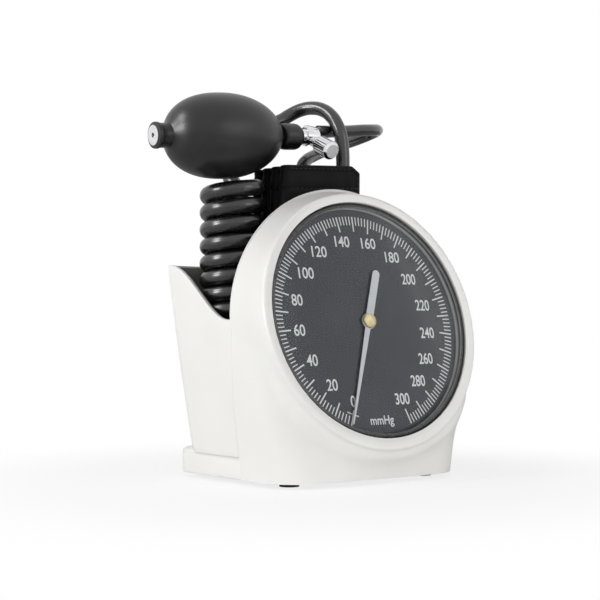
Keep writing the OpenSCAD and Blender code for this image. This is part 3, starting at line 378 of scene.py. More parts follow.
def coilPoints(facts):
    # eased at both ends, so that the straight ends clear the turns beside them
    whole = 360 * facts["turns"]
    points = []
    for k in range(facts["turns"] * facts["perTurn"] + 1):
        angle = 360 * k / facts["perTurn"]
        height = facts["coilStart"] + facts["pitch"] * angle / 360 + facts["growth"] / 2 * (angle / 360) ** 2
        height -= facts["ease"] * max(0, 1 - angle / 90) ** 2
        height += facts["ease"] * max(0, 1 - (whole - angle) / 90) ** 2
        x, y = arc(*facts["coilAxis"], facts["coilRadius"], angle, angle, 1)[0]
        points.append(at(x, y, height))
    return points


def inMetres(route):
    return [at(x / 1000, y / 1000, z / 1000) for x, y, z in route]


def layHose(name, facts, route, rubber, slot, replaced, **cordWords):
    curve = bpy.data.curves.new(name, "CURVE")
    curve.dimensions = "3D"
    curve.bevel_depth = facts["diameter"] / 2 * skinShare
    curve.bevel_resolution = 6
    curve.resolution_u = 4
    curve.use_fill_caps = True
    spline = curve.splines.new("BEZIER")
    spline.bezier_points.add(len(route) - 1)
    for point, place in zip(spline.bezier_points, route):
        point.co = place
        point.handle_left_type = point.handle_right_type = "AUTO"
    hose = bpy.data.objects.new(name, curve)
    bpy.context.scene.collection.objects.link(hose)
    settle(hose, finishes[rubber], replaced)
    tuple(route[0])


layHose("coiledHose", hoseFacts,
        inMetres(hoseFacts["toCoil"]) + coilPoints(hoseFacts) + inMetres(hoseFacts["fromCoil"]),
        "hoseRubber", "hose_black", ["gauge_hose", "coil_hose", "coil_lead"],
        far_end="connector", stiffness="stiff", lay="coiled", with_pieces=[nodes["hose_connector"]])
for name, facts, replaced in (("bladderTube", bladderTubeFacts, "bladder_tube"),
                              ("inflationTube", inflationTubeFacts, "inflation_tube")):
    layHose(name, facts, inMetres(facts["route"]), "tubeRubber", "tube_black", [replaced],
            far_end="object", stiffness="medium", lay="loose")
print("hoses laid")


# front shell: the drum behind the dial and the foot, blended where they meet
shellFacts = dict(
    windowRadius=0.0744, windowLift=0.0008, innerHeight=0.007, crestRadius=0.08, crestHeight=0.0083,
    rimRadius=0.0816, rimHeight=0.0003, archRadius=0.0806, archHeight=0.1018, bottom=0.003, wall=0.0026,
    dialHeight=0.098, dialTilt=14, footFront=0.0135, footCorner=0.029,
    flank=[(0.003, 0.072), (0.017, 0.07432), (0.03, 0.0763), (0.06, 0.07922), (0.1018, 0.0806)],
    pocket=0.009, voxel=0.0013, fillet=0.024)


def placed(spot, angle, axis):
    return Matrix.Translation(spot) @ Matrix.Rotation(radians(angle), 4, axis)


dialPlace = placed(at(0, 0, shellFacts["dialHeight"]), 90 - shellFacts["dialTilt"], "X")
windowPlace = dialPlace @ Matrix.Translation((0, shellFacts["windowLift"], 0))


def drumForm(facts):
    # rim of the dial window: a shallow inner slope up to the crest, then a round-over to the upright arch
    bm = bmesh.new()
    crest, top, steps = facts["crestRadius"], facts["crestHeight"], 12
    rings = []
    for k in range(2 * steps + 1):
        angle = pi * (1 - k / steps / 2)
        end = ("rimRadius", "rimHeight") if k > steps else ("windowRadius", "innerHeight")
        radius, low = facts[end[0]], facts[end[1]]
        place = dialPlace @ Matrix.Translation((0, 0, low + (top - low) * sin(angle)))
        rings.append(ringEdges(bm, crest + abs(radius - crest) * cos(angle), place))
    upright = placed(at(0, seamY + 0.004, facts["archHeight"]), 90, "X")
    rings.append(ringEdges(bm, facts["archRadius"], upright))
    return lofted(bm, rings)


def footForm(facts):
    # stacked outlines with broad front corners
    bm = bmesh.new()
    low, steps = facts["bottom"] - 0.004, 14
    levels = [low + (facts["archHeight"] - low) * k / steps for k in range(steps + 1)]
    corner, front = facts["footCorner"], facts["footCorner"] - facts["footFront"]
    loops = []
    for z in levels:
        # the top lies well inside the drum
        half = between(facts["flank"], z)[0] - max(0, z - 0.093) * 0.3
        right = [(half, seamY + 0.004)] + arc(half - corner, front, corner, 0, -90, 20)
        outline = right + [(-x, y) for x, y in reversed(right)]
        verts = [bm.verts.new(at(x, y, z)) for x, y in outline]
        loops.append([bm.edges.new(pair) for pair in zip(verts, verts[1:] + verts[:1])])
    return lofted(bm, loops)


def unionStep(spot, trees, reach):
    # how far a point is from the two forms' smooth union, as a vector
    hits = []
    for tree in trees:
        touch, normal, face, gap = tree.find_nearest(spot)
        side = 1 if (spot - touch).dot(normal) >= 0 else -1
        hits.append((gap * side, (spot - touch) * side / gap if gap > 1e-5 else normal))
    (near, nearWay), (far, farWay) = sorted(hits, key=lambda hit: hit[0])
    reach *= min(1, (1 - nearWay.dot(farWay)) / 0.5)     # none where the two run the same way
    share = max(0, reach - far + near) / reach if reach > 1e-6 else 0
    way = nearWay * (1 - share / 2) + farWay * share / 2
    return way * (near - share * share * reach / 4) / max(0.25, way.length_squared)


def blended(drum, foot, facts):
    # one skin over both forms, with a broad fillet under the rim that fades out towards the crest
    trees = (BVHTree.FromBMesh(drum), BVHTree.FromBMesh(foot))
    solid = newObject("shellSolid", joined([drum, foot]))
    modifier(solid, "REMESH", mode="VOXEL", voxel_size=facts["voxel"])
    applied(solid)
    bm = bmeshOf(solid.data)
    inward = dialPlace.inverted()
    for k in range(5):
        if 0 < k < 4:
            bmesh.ops.smooth_vert(bm, verts=bm.verts, factor=0.5, use_axis_x=True, use_axis_y=True,
                                  use_axis_z=True)
        for v in bm.verts:
            spot = v.co - middle
            onDial = inward @ v.co
            fade = ((1 - shareOf(onDial.z, 0.002, facts["crestHeight"] + 0.0004))
                    * (1 - shareOf(spot.z, 0.072, 0.096)) * (1 - shareOf(spot.y, 0.012, 0.028)))
            v.co -= unionStep(v.co, trees, facts["fillet"] * fade)
    below = [(v, 0.5 - 0.5 * shareOf((inward @ v.co).z, 0.003, 0.0085)) for v in bm.verts]
    below = [(v, share) for v, share in below if share > 0 and v.co.y < middle.y + 0.026]
    for k in range(6):                                # evens the skin under the crest
        means = [sum((e.other_vert(v).co for e in v.link_edges), Vector()) / len(v.link_edges)
                 for v, share in below]
        for (v, share), mean in zip(below, means):
            v.co = v.co.lerp(mean, share)
    bm.to_mesh(solid.data)
    bm.free()
    return solid


def cutter(bm, name="cutter"):
    tool = newObject(name, bm)
    tool.hide_render = True
    return tool


def cutAway(piece, tool):
    modifier(piece, "BOOLEAN", operation="DIFFERENCE", solver="EXACT", object=tool)
    applied(piece)
    bpy.data.objects.remove(tool)
    return piece


def windowFrame(finish):
    # distance from the window's axis and height over the dial, both in millimetres
    local = finish.node("ShaderNodeMapping", {"vector_type": "TEXTURE"}, {
        "Vector": finish.place, "Location": windowPlace.translation, "Rotation": windowPlace.to_euler()})
    x, y = finish.axis("X", local) * 1000, finish.axis("Y", local) * 1000
    radius = finish.node("ShaderNodeMath", {"operation": "SQRT"}, {0: x * x + y * y})
    return radius, finish.axis("Z", local) * 1000


# painted shade on the shell's inner wall beside the bezel: the heights over the dial where it fades out, and
# its colour
innerShade = dict(heights=(4.2, 7.3), colour=0.05)


def shellFinish(colour, second, patch, rough, grain, depth):
    # the white plastic, with painted shade down inside the window beside the bezel
    finish = Finish("frontPlastic")
    patches = finish.noise(patch / 1000, 4)
    radius, height = windowFrame(finish)
    wall = 1000 * shellFacts["windowRadius"]
    inside = finish.spread(radius, 1, 0, wall + 0.25, wall + 0.7)
    deep = finish.spread(height, 1, 0, *innerShade["heights"])
    plain = finish.mix(finish.spread(patches, 0, 1), colour, second)
    # painted shade: the inner wall turns dark towards the bezel
    shade = finish.mix(inside * deep, plain, innerShade["colour"])
    bump = finish.bump(finish.noise(grain / 1000, 2), depth / 1000)
    return finish.shade(shade, finish.spread(patches, *rough), bump, coat=0.08, coatRoughness=0.25)


def makeFrontShell(facts):
    shell = blended(drumForm(facts), footForm(facts), facts)
    depth = facts["pocket"]
    hole = turned([(0, -depth), (facts["windowRadius"], -depth), (facts["windowRadius"], 0.05), (0, 0.05)],
                  windowPlace, 192)
    cutAway(shell, cutter(hole))
    bm = bmeshOf(shell.data)
    for spot, normal in ((at(0, seamY, 0), (0, 1, 0)), (at(0, 0, facts["bottom"]), (0, 0, -1))):
        everything = bm.verts[:] + bm.edges[:] + bm.faces[:]
        bmesh.ops.bisect_plane(bm, geom=everything, plane_co=spot, plane_no=normal, clear_outer=True)
    inward = windowPlace.inverted()
    centres = {f: inward @ f.calc_center_median() for f in bm.faces}
    floor = [f for f, spot in centres.items()
             if -1e-4 < spot.z + depth < 1e-5 and spot.xy.length < facts["windowRadius"]]
    bmesh.ops.delete(bm, geom=floor, context="FACES")
    bm.to_mesh(shell.data)
    bm.free()
    modifier(shell, "SOLIDIFY", thickness=facts["wall"], offset=-1)
    applied(shell)
    shell.name = "frontShell"
    shell.data.shade_smooth()
    shell.data.set_sharp_from_angle(angle=radians(50))
    return settle(shell, finishes["frontPlastic"], replaced=["front_shell"])


finishes["frontPlastic"] = shellFinish(*shellPlastic)
frontShell = makeFrontShell(shellFacts)
print("front shell blended:", len(frontShell.data.polygons), "faces")


# rear basket: leaning walls with an S-curved upper edge, the arch plate, the floor and the plinth
basketFacts = dict(
    front=0.0292, wall=0.0024, archThickness=0.0028, edgeLow=0.0992, edgeRise=0.0354, edgeStart=0.033,
    edgeRun=0.064, foot=0.0165, corner=0.012, floorLow=0.048, floorHigh=0.0504,
    floorInset=0.0018, floorLevel=0.049,
    rearCorner=[(0.0165, 0.0785, 0.0846), (0.026, 0.0793, 0.0866), (0.0746, 0.0813, 0.0976),
                (0.1346, 0.0843, 0.1077), (0.1406, 0.0843, 0.1077)],
    plinthBottom=0.003, plinthTop=0.019, plinthFront=0.072, plinthRear=0.0782, plinthY=0.0957,
    plinthCorner=0.008, plinthRound=0.003, hoseHole=(-0.0392, 0.0573, 0.0052), rearRound=0.0023)
shadeLinerFacts = dict(inset=0.0026, wall=0.0014, drop=0.001, floorLow=0.0506, floorHigh=0.052)


def alongWall(share, frontHalf, rearHalf, rearY, corner, front):
    # half an outline, from the seam (0) along the side, round the corner and on to the middle (1)
    side = hypot(rearHalf - frontHalf, rearY - corner - front)
    turn = corner * pi / 2
    whole = side + turn + rearHalf - corner
    run = share * whole
    if run < side:
        t = run / side
        return frontHalf + (rearHalf - frontHalf) * t, front + (rearY - corner - front) * t
    if run < side + turn:
        angle = (run - side) / corner
        return rearHalf - corner + corner * cos(angle), rearY - corner + corner * sin(angle)
    return rearHalf - corner - (run - side - turn), rearY


def mirroredHalf(share):
    # 0 to 1 round the whole outline as a side and a half's own share
    return (1, share * 2) if share < 0.5 else (-1, 2 - share * 2)


def edgeHeight(y, facts):
    start = facts["edgeStart"]
    return facts["edgeLow"] + facts["edgeRise"] * shareOf(y, start, start + facts["edgeRun"])


def wallPlace(share, z, inset, facts):
    sign, half = mirroredHalf(share)
    frontHalf = between(shellFacts["flank"], z)[0]
    rearHalf, rearY = between(facts["rearCorner"], z)
    x, y = alongWall(half, frontHalf - inset, rearHalf - inset, rearY - inset, facts["corner"] - inset,
                     facts["front"])
    return Vector((sign * x, y, z))


def wallSkin(low, inset, drop, facts, columns=144, rows=22):
    def where(share, rise):
        top = facts["edgeLow"]
        for k in range(8):
            top = edgeHeight(wallPlace(share, top, inset, facts).y, facts) - drop
        return middle + wallPlace(share, low + (top - low) * rise, inset, facts)
    return skin(columns, rows, where)


def floorForm(inset, low, high, level, steps=60):
    # a flat floor within the walls
    spots = [wallPlace(k / steps, level, inset, basketFacts) for k in range(steps + 1)]
    return slab([at(spot.x, spot.y, low) for spot in spots], (0, 0, high - low))


def plinthSkin(facts, columns=120, rows=14):
    rise, rounding = facts["plinthTop"] - facts["plinthBottom"], facts["plinthRound"]
    ledge = 0.016

    def where(share, t):
        run = t * (rise - rounding + rounding * pi / 2 + ledge)
        if run < rise - rounding:
            inset, z = 0, run
        elif run < rise - rounding + rounding * pi / 2:
            angle = (run - rise + rounding) / rounding
            inset, z = rounding - rounding * cos(angle), rise - rounding + rounding * sin(angle)
        else:
            inset, z = rounding + run - (rise - rounding + rounding * pi / 2), rise
        sign, half = mirroredHalf(share)
        corner = max(0.0005, facts["plinthCorner"] - inset)
        x, y = alongWall(half, facts["plinthFront"] - inset, facts["plinthRear"] - inset,
                         facts["plinthY"] - inset, corner, facts["front"])
        return at(sign * x, y, facts["plinthBottom"] + z)

    return skin(columns, rows, where)


def walled(bm, thickness):
    # a skin round the basket's middle given thickness inwards, as a mesh builder again
    outward(bm)
    if sum(f.normal.dot(f.calc_center_median() - at(0, 0.06, 0.06)) for f in bm.faces) < 0:
        bmesh.ops.reverse_faces(bm, faces=bm.faces)
    piece = newObject("wall", bm)
    modifier(piece, "SOLIDIFY", thickness=thickness, offset=-1)
    modifier(piece, "BEVEL", width=0.0005, segments=2, limit_method="ANGLE", angle_limit=radians(50))
    return taken(applied(piece))


def taken(piece):
    bm = bmeshOf(piece.data)
    bpy.data.objects.remove(piece)
    return bm


def archPlate(facts):
    # the round wall that closes the front shell from behind, with the hose's hole
    arch, low = shellFacts, 0.0056
    flank = [(w - 0.0001, max(z, low)) for z, w in arch["flank"]]
    top = arc(0, arch["archHeight"], arch["archRadius"], 0, 180, 90)
    outline = flank[:-1] + top + [(-x, z) for x, z in reversed(flank[:-1])]
    bm = slab([at(x, facts["front"], z) for x, z in outline], (0, facts["archThickness"], 0))
    rear = facts["front"] + facts["archThickness"] / 2
    for behind, rounding, segments in ((True, facts["rearRound"], 6), (False, 0.0003, 2)):
        rim = [e for e in bm.edges if len(e.link_faces) == 2 and e.calc_face_angle() > 1
               and (e.verts[0].co.y > at(0, rear, 0).y) == behind]
        bmesh.ops.bevel(bm, geom=rim, offset=rounding, segments=segments, profile=0.5, affect="EDGES",
                        material=-1)
    plate = newObject("archPlate", bm)
    x, z, radius = facts["hoseHole"]
    hole = turned([(0, 0), (radius, 0), (radius, 0.02), (0, 0.02)], placed(at(x, 0.045, z), 90, "X"), 48)
    return taken(cutAway(plate, cutter(hole)))


def makeBasket(facts):
    walls = walled(wallSkin(facts["foot"], 0, 0, facts), facts["wall"])
    plinth = walled(plinthSkin(facts), facts["wall"])
    floor = floorForm(facts["floorInset"], facts["floorLow"], facts["floorHigh"], facts["floorLevel"])
    basket = newObject("rearBasket", joined([walls, plinth, archPlate(facts), floor]))
    settle(basket, finishes["shellPlastic"], ["rear_basket"])


# a dark grey lining inside the basket's walls, standing in for the shade on their white inner faces: painted
# shade
def makeLiner(facts):
    inset, low = facts["inset"], facts["floorLow"]
    sides = walled(wallSkin(low, inset, facts["drop"], basketFacts), facts["wall"])
    liner = newObject("basketLiner", joined([sides, floorForm(inset, low, facts["floorHigh"], low)]))
    settle(liner, finishes["linerPaintedShade"], ["basket_liner"])


makeBasket(basketFacts)
makeLiner(shadeLinerFacts)
print("basket and liner made")


# cuff: one long strip of nylon in eight layers, bound along its edges, with the bladder folded in it
cuffFacts = dict(
    layers=(0, 7), thickness=0.0046, pitch=0.005, left=-0.0335, right=0.0285, front=0.0433, start=0.0285,
    end=0.0285,
    bottom=0.0523, height=0.145, slope=3.4, edge=0.0022, taper=0.010, tape=0.0032, tapeProud=0.00025,
    seam=0.015, seamHalf=0.0012, seamDepth=0.0004, ripple=0.00035, rippleSize=0.028, steps=36,
    corner=(0.007, 0.005), flat=(0.1468, 0.4838))
bladderFacts = dict(
    layers=(2, 5), thickness=0.0016, pitch=0.005, left=-0.0335, right=0.0285, front=0.0433, start=0.0203,
    end=0.0203,
    bottom=0.0615, height=0.1266, slope=0, edge=0.0006, taper=0.004, tape=0.003, tapeProud=0.0001,
    seam=0.02, seamHalf=0.001, seamDepth=0, ripple=0.0001, rippleSize=0.02, steps=28,
    necks=[(2, 0.016), (5, -0.006)], neckHalf=0.003, neckRise=0.0062)
stitchFacts = dict(length=0.0024, pitch=0.0034, radius=0.00024)
patchFacts = dict(half=0.023, low=0.0798, high=0.1698, back=0.0806, base=0.0005, corner=0.004,
                  hookPitch=0.0021, hookRise=0.0009, hookRadius=0.00013, margin=0.003, seamInset=0.0015)


def stripPath(facts):
    # the strip's middle line as (x, y, layer), with half a turn between layers
    bend, outside = facts["pitch"] / 2, (cuffFacts["pitch"] + cuffFacts["thickness"]) / 2
    foldRight, foldLeft = facts["right"] - outside, facts["left"] + outside
    first, last = facts["layers"]
    points = []
    for layer in range(first, last + 1):
        y = facts["front"] + layer * facts["pitch"]
        start = facts["start"] if layer == first else (foldLeft if layer % 2 else foldRight)
        end = facts["end"] if layer == last else (foldRight if layer % 2 else foldLeft)
        points += [(start + (end - start) * k / facts["steps"], y, layer) for k in range(facts["steps"] + 1)]
        if layer < last:
            side = 1 if layer % 2 else -1
            turn = [pi * k / 8 for k in range(1, 8)]
            points += [(end + side * bend * sin(a), y + bend - bend * cos(a), layer) for a in turn]
    return points


def edgeLevels(facts):
    # heights above the bottom edge as (share of the middle part, metres from the nearer edge)
    tape, seam, half = facts["tape"], facts["seam"], facts["seamHalf"]
    near = [0, 0.0002, 0.0006, 0.0012, 0.002, tape - 0.0002, tape + 0.0002, tape + 0.0015, tape + 0.004,
            0.0105, seam - half, seam - half / 2, seam, seam + half / 2, seam + half, seam + half + 0.002]
    middlePart = [(k / 16, near[-1]) for k in range(1, 16)]
    return [(0, d) for d in near] + middlePart + [(1, d) for d in reversed(near)]


def topAt(x, layer, facts):
    # the strip's height here: the cuff's cut corner, the bladder's two necks
    height = facts["height"] + (x - facts["left"]) * tan(radians(facts["slope"]))
    if "corner" in facts and layer == 0:
        wide, tall = facts["corner"]
        height -= tall * max(0, x - facts["right"] + wide) / wide
    for neckLayer, place in facts.get("necks", []):
        if layer == neckLayer:
            height += facts["neckRise"] * (1 - shareOf(abs(x - place), facts["neckHalf"] - 0.0006,
                                                       facts["neckHalf"] + 0.0006))
    return height


def foldedStrip(name, facts):
    path = stripPath(facts)
    spots = [Vector((x, y, 0)) for x, y, layer in path]
    lengths = [0]
    for a, b in zip(spots, spots[1:]):
        lengths.append(lengths[-1] + (b - a).length)
    normals = []
    for k in range(len(spots)):
        along = (spots[min(k + 1, len(spots) - 1)] - spots[max(k - 1, 0)]).normalized()
        normals.append(Vector((along.y, -along.x, 0)))
    levels = edgeLevels(facts)
    rows = 2 * (len(levels) - 1)
    half, thin = facts["thickness"] / 2, facts["edge"] / 2

    def thickAt(distance):
        # half the thickness this far from an edge: rounded lip, binding tape, filling, sewn line
        body = thin + (half - thin) * shareOf(distance, facts["tape"], facts["taper"])
        body += facts["tapeProud"] * (1 - shareOf(distance, facts["tape"] - 0.0002, facts["tape"] + 0.0002))
        body -= facts["seamDepth"] * max(0, 1 - abs(distance - facts["seam"]) / facts["seamHalf"])
        return body * sqrt(max(0, 1 - max(0, 1 - distance / thin) ** 2))

    def where(share, t):
        k = round(share * (len(path) - 1))
        j = round(t * rows)
        side, j = (1, j) if j < len(levels) else (-1, rows - j)
        x, y, layer = path[k]
        height = topAt(x, layer, facts)
        part, near = levels[j]
        z = near + part * (height - 2 * near)
        fromEnd = min(lengths[k], lengths[-1] - lengths[k])
        thick = min(thickAt(min(z, height - z)), thickAt(fromEnd))
        wave = noise.noise(Vector((x, 0, z)) / facts["rippleSize"]) * facts["ripple"]
        return at(x, y + wave, facts["bottom"] + z) + normals[k] * thick * side

    bm = skin(len(path) - 1, rows, where)
    uv = bm.loops.layers.uv.active
    for f in bm.faces:
        for loop in f.loops:
            loop[uv].uv.x *= lengths[-1]
            loop[uv].uv.y *= 2 * facts["height"]
    bmesh.ops.remove_doubles(bm, verts=bm.verts, dist=1e-6)
    print(name, "folded from", round(lengths[-1], 4), "of strip")
    return newObject(name, outward(bm), 70)


def stitchRow(start, end, facts):
    # thread that lies on the cloth between the needle's holes
    run = end - start
    count = int(run.length / facts["pitch"])
    turn = run.to_track_quat("Z", "Y").to_matrix().to_4x4()
    bulge = Matrix.Diagonal((facts["radius"], facts["radius"], facts["length"] / 2, 1))
    bm = bmesh.new()
    for k in range(count):
        spot = start + run * (k + 0.5) / count
        bmesh.ops.create_icosphere(bm, subdivisions=1, radius=1,
                                   matrix=Matrix.Translation(spot) @ turn @ bulge)
    return bm


def makeCuffStitches(cuffs, facts):
    # along the sewn line and inside the tape, on the front layer's outer face
    face = cuffs["front"] - cuffs["thickness"] / 2
    edgeFace = cuffs["front"] - cuffs["edge"] / 2 - cuffs["tapeProud"] + 0.0001
    left, right = cuffs["left"] + 0.005, cuffs["right"] - 0.001
    rows = []
    seamFace = face + cuffs["seamDepth"] - 0.0001
    for distance, y in ((cuffs["seam"], seamFace), (cuffs["tape"] - 0.0008, edgeFace)):
        limit = right - (cuffs["corner"][0] if distance < cuffs["seam"] else distance / 8)
        tops = [cuffs["bottom"] + topAt(x, 1, cuffs) - distance for x in (left, limit)]
        rows.append(stitchRow(at(left, y, tops[0]), at(limit, y, tops[1]), facts))
        low = cuffs["bottom"] + distance
        rows.append(stitchRow(at(left, y, low), at(right, y, low), facts))
    x = cuffs["right"] - cuffs["tape"] + 0.0008
    top = cuffs["bottom"] + topAt(x, 0, cuffs) - cuffs["tape"]
    rows.append(stitchRow(at(x, edgeFace, cuffs["bottom"] + cuffs["tape"]), at(x, edgeFace, top), facts))
    return newObject("cuffStitches", joined(rows), 60)


def makeHookPatch(facts):
    # a sewn-on pad with rounded corners and rows of bent hooks
    half, corner, low, high = facts["half"], facts["corner"], facts["low"], facts["high"]
    outline = []
    for side, z, turn in ((1, high - corner, 0), (-1, high - corner, 90), (-1, low + corner, 180),
                          (1, low + corner, 270)):
        outline += arc(side * (half - corner), z, corner, turn, turn + 90, 6)
    base = slab([at(x, facts["back"], z) for x, z in outline], (0, facts["base"], 0))
    hook = bmesh.new()
    rise, rings = facts["hookRise"], []
    for back, over, lean in ((0, 0, 0), (0.55, 0, 0), (0.9, 0.15, 35), (1, 0.45, 80), (0.8, 0.7, 140)):
        place = placed((0, rise * back, -rise * over), -90 - lean, "X")
        rings.append(ringEdges(hook, facts["hookRadius"], place, 5))
    shape = bpy.data.meshes.new("hook")
    lofted(hook, rings).to_mesh(shape)
    hook.free()
    pitch, margin = facts["hookPitch"], facts["margin"]
    columns, rows = int(2 * (half - margin) / pitch), int((high - low - 2 * margin) / pitch)
    face = facts["back"] + facts["base"]
    field = bmesh.new()
    for i in range(columns + 1):
        for j in range(rows + 1):
            x = (i - columns / 2 + (j % 2) / 2 - 0.25) * pitch
            z = (low + high) / 2 + (j - rows / 2) * pitch
            count = len(field.verts)
            field.from_mesh(shape)
            field.verts.ensure_lookup_table()
            bmesh.ops.translate(field, verts=field.verts[count:], vec=at(x, face, z))
    bpy.data.meshes.remove(shape)
    inset = facts["seamInset"]
    corners = [at(x, face, z) for x, z in ((inset - half, low + inset), (half - inset, low + inset),
                                           (half - inset, high - inset), (inset - half, high - inset))]
    seams = [stitchRow(a, b, stitchFacts) for a, b in zip(corners, corners[1:] + corners[:1])]
    return newObject("hookPatch", joined([base, field] + seams), 50)


def nylonFinish(name, colour, second, pitch=0.0006):
    # plain weave: warp and weft ridges that pass over and under each other, with a soft sheen
    finish = Finish(name)
    cloth = finish.node("ShaderNodeTexCoord", output="UV")
    wave = 2 * pi / pitch
    across = finish.node("ShaderNodeMath", {"operation": "SINE"}, {0: finish.axis("X", cloth) * wave})
    along = finish.node("ShaderNodeMath", {"operation": "SINE"}, {0: finish.axis("Y", cloth) * wave})
    weave = across * along * 0.5 + 0.5
    patches = finish.noise(0.012, 4)
    shade = finish.mix(finish.spread(patches, 0, 0.7) + weave * 0.3, colour, second)
    height = weave + finish.noise(0.004, 3) * 1.5
    return finish.shade(shade, finish.spread(patches, 0.5, 0.66), finish.bump(height, 0.00006),
                        specular=0.12, sheen=0.03, sheenRoughness=0.35)


finishes["cuffNylon"] = nylonFinish("cuffNylon", (0.0026, 0.0024, 0.0026), (0.0054, 0.0050, 0.0054))
cuff = settle(foldedStrip("foldedCuff", cuffFacts), finishes["cuffNylon"], ["cuff"])
settle(foldedStrip("foldedBladder", bladderFacts), finishes["bladderRubber"], ["bladder"])
settle(makeCuffStitches(cuffFacts, stitchFacts), finishes["thread"])
settle(makeHookPatch(patchFacts), finishes["hookNylon"], ["hook_patch"])
print("cuff, bladder and hook patch made")


# bulb: oval rubber body, neck with a bead at the inlet, ribbed ring and collar at the valve
bulbFacts = dict(
    place=(-0.115, 0.062, 0.2108), rise=4.7, length=0.112, radius=0.0272, belly=0.049, start=0.010,
    fullness=2.4, neck=0.0076, bead=0.0082, collar=0.0086, collarStart=0.0893, barrelEnd=0.1068,
    seat=0.0062, plug=0.0051)
bulbPlace = placed(at(*bulbFacts["place"]), 90 - bulbFacts["rise"], "Y")


def bulbRadius(s, facts):
    if s < facts["belly"]:
        share, power = (facts["belly"] - s) / (facts["belly"] - facts["start"]), facts["fullness"]
    else:
        share, power = (s - facts["belly"]) / (facts["collarStart"] + 0.002 - facts["belly"]), 2
    return facts["radius"] * max(0, 1 - share**power) ** (1 / power)


def makeBulb(facts):
    neck, collar, start = facts["neck"], facts["collar"], facts["collarStart"]
    profile = [(facts["plug"], 0.001), (facts["seat"], 0.001), (facts["seat"] + 0.0001, 0),
               (facts["bead"] - 0.0007, 0), (facts["bead"] - 0.0002, 0.0002), (facts["bead"], 0.0009),
               (facts["bead"], 0.0022), (facts["bead"] - 0.0003, 0.0029), (neck, 0.0034), (neck, 0.007)]
    blend = 0.003                                     # the neck flows into the body
    for k in range(64):
        s = 0.0085 + (start - 0.0085) * k / 63
        body = bulbRadius(s, facts)
        low = neck if s < facts["belly"] else collar - 0.0026
        gap = body - low
        r = low + (gap + sqrt(gap * gap + blend * blend)) / 2 - blend * 0.12
        profile.append((r, s))
    for k in range(4):                                # fine ribs of the ring in front of the collar
        s = start + 0.0002 + 0.0009 * k
        profile += [(collar - 0.0012, s), (collar - 0.0004, s + 0.0003), (collar - 0.0012, s + 0.0007)]
    s0 = start + 0.0038
    barrel = facts["barrelEnd"] - s0
    for k in range(17):
        t = k / 16
        bulge = (1 - abs(2 * t - 1) ** 4.5) ** 0.5
        profile.append((collar - 0.0022 + 0.0022 * bulge, s0 + barrel * t))
    profile += [(facts["seat"], facts["barrelEnd"] + 0.0012), (facts["plug"], facts["barrelEnd"] + 0.0015),
                (facts["plug"], start - 0.004), (facts["plug"], 0.012), (facts["plug"], 0.001)]
    return newObject("rubberBulb", turned(profile, bulbPlace, 96), 45)


settle(makeBulb(bulbFacts), finishes["bulbRubber"], ["bulb"])
print("bulb turned")


# dial: printed scale and numerals on the plate, and the plate's own paint
dialFacts = dict(
    zero=20.7, sweep=320, top=300, tickOuter=0.068, tickInner=0.0625, longInner=0.0583, tickWidth=0.0007,
    longWidth=0.0009, ink=0.00006, zeroBar=0.061, zeroBarHalf=3.4, numeralHeight=0.0071,
    numeralWidths=(0.0038, 0.0080, 0.0113), bold=0.012,
    numerals=[(0, -20.0, -49.2), (20, -33.8, -38.8), (40, -45.8, -23.6), (60, -51.8, -5.3), (80, -50.5, 13.2),
              (100, -40.9, 30.2), (120, -28.7, 44.1), (140, -9.8, 51.3), (160, 10.8, 50.9), (180, 28.5, 42.5),
              (200, 39.2, 28.3), (220, 47.2, 11.2), (240, 47.4, -6.9), (260, 42.6, -23.6), (280, 33.3, -37.7),
              (300, 18.3, -48.7)],
    unit=("mmHg", -0.0001, -0.0621, 0.0180, 0.0072))


def dialAngle(value, facts):
    # clockwise from straight down, turned into an angle in the dial's own plane
    return radians(-90 - facts["zero"] - facts["sweep"] * value / facts["top"])


def inkSlab(inner, outer, width, angle, thickness):
    return (Matrix.Rotation(angle, 4, "Z") @ Matrix.Translation(((inner + outer) / 2, 0, thickness / 2))
            @ Matrix.Diagonal((outer - inner, width, thickness, 1)))


def makeScale(facts):
    bm = bmesh.new()
    for value in range(0, facts["top"] + 1, 2):
        long = value % 10 == 0
        inner, width = (facts["longInner"], facts["longWidth"]) if long else (facts["tickInner"],
                                                                              facts["tickWidth"])
        place = inkSlab(inner, facts["tickOuter"], width, dialAngle(value, facts), facts["ink"])
        bmesh.ops.create_cube(bm, size=1, matrix=dialPlace @ place)
    for k in range(-3, 4):                           # the short bar across the zero mark
        angle = dialAngle(0, facts) + radians(facts["zeroBarHalf"] * k / 3)
        width = facts["zeroBar"] * radians(facts["zeroBarHalf"]) / 2.6
        place = inkSlab(facts["zeroBar"] - 0.0003, facts["zeroBar"] + 0.0003, width, angle, facts["ink"])
        bmesh.ops.create_cube(bm, size=1, matrix=dialPlace @ place)
    return newObject("scaleMarks", bm)


def printText(words, x, y, width, height, facts):
    # a line of letters as a thin mesh on the dial, centred on (x, y) and fitted to its size
    text = bpy.data.curves.new("words", "FONT")
    text.body = words
    text.size = 1
    text.extrude = 0.01
    text.offset = facts["bold"]
    text.align_x, text.align_y = "CENTER", "CENTER"
    maker = bpy.data.objects.new("words", text)
    bpy.context.scene.collection.objects.link(maker)
    mesh = bpy.data.meshes.new_from_object(maker.evaluated_get(bpy.context.evaluated_depsgraph_get()))
    bpy.data.objects.remove(maker)
    columns = [[v.co[axis] for v in mesh.vertices] for axis in range(3)]
    spans = [(min(column), max(column)) for column in columns]
    sizes = [want / (high - low) for want, (low, high) in zip((width, height, facts["ink"]), spans)]
    mesh.transform(dialPlace @ Matrix.Translation((x, y, facts["ink"] / 2)) @ Matrix.Diagonal((*sizes, 1))
                   @ Matrix.Translation([-(low + high) / 2 for low, high in spans]))
    bm = bmeshOf(mesh)
    bpy.data.meshes.remove(mesh)
    bmesh.ops.remove_doubles(bm, verts=bm.verts, dist=1e-7)
    return bm


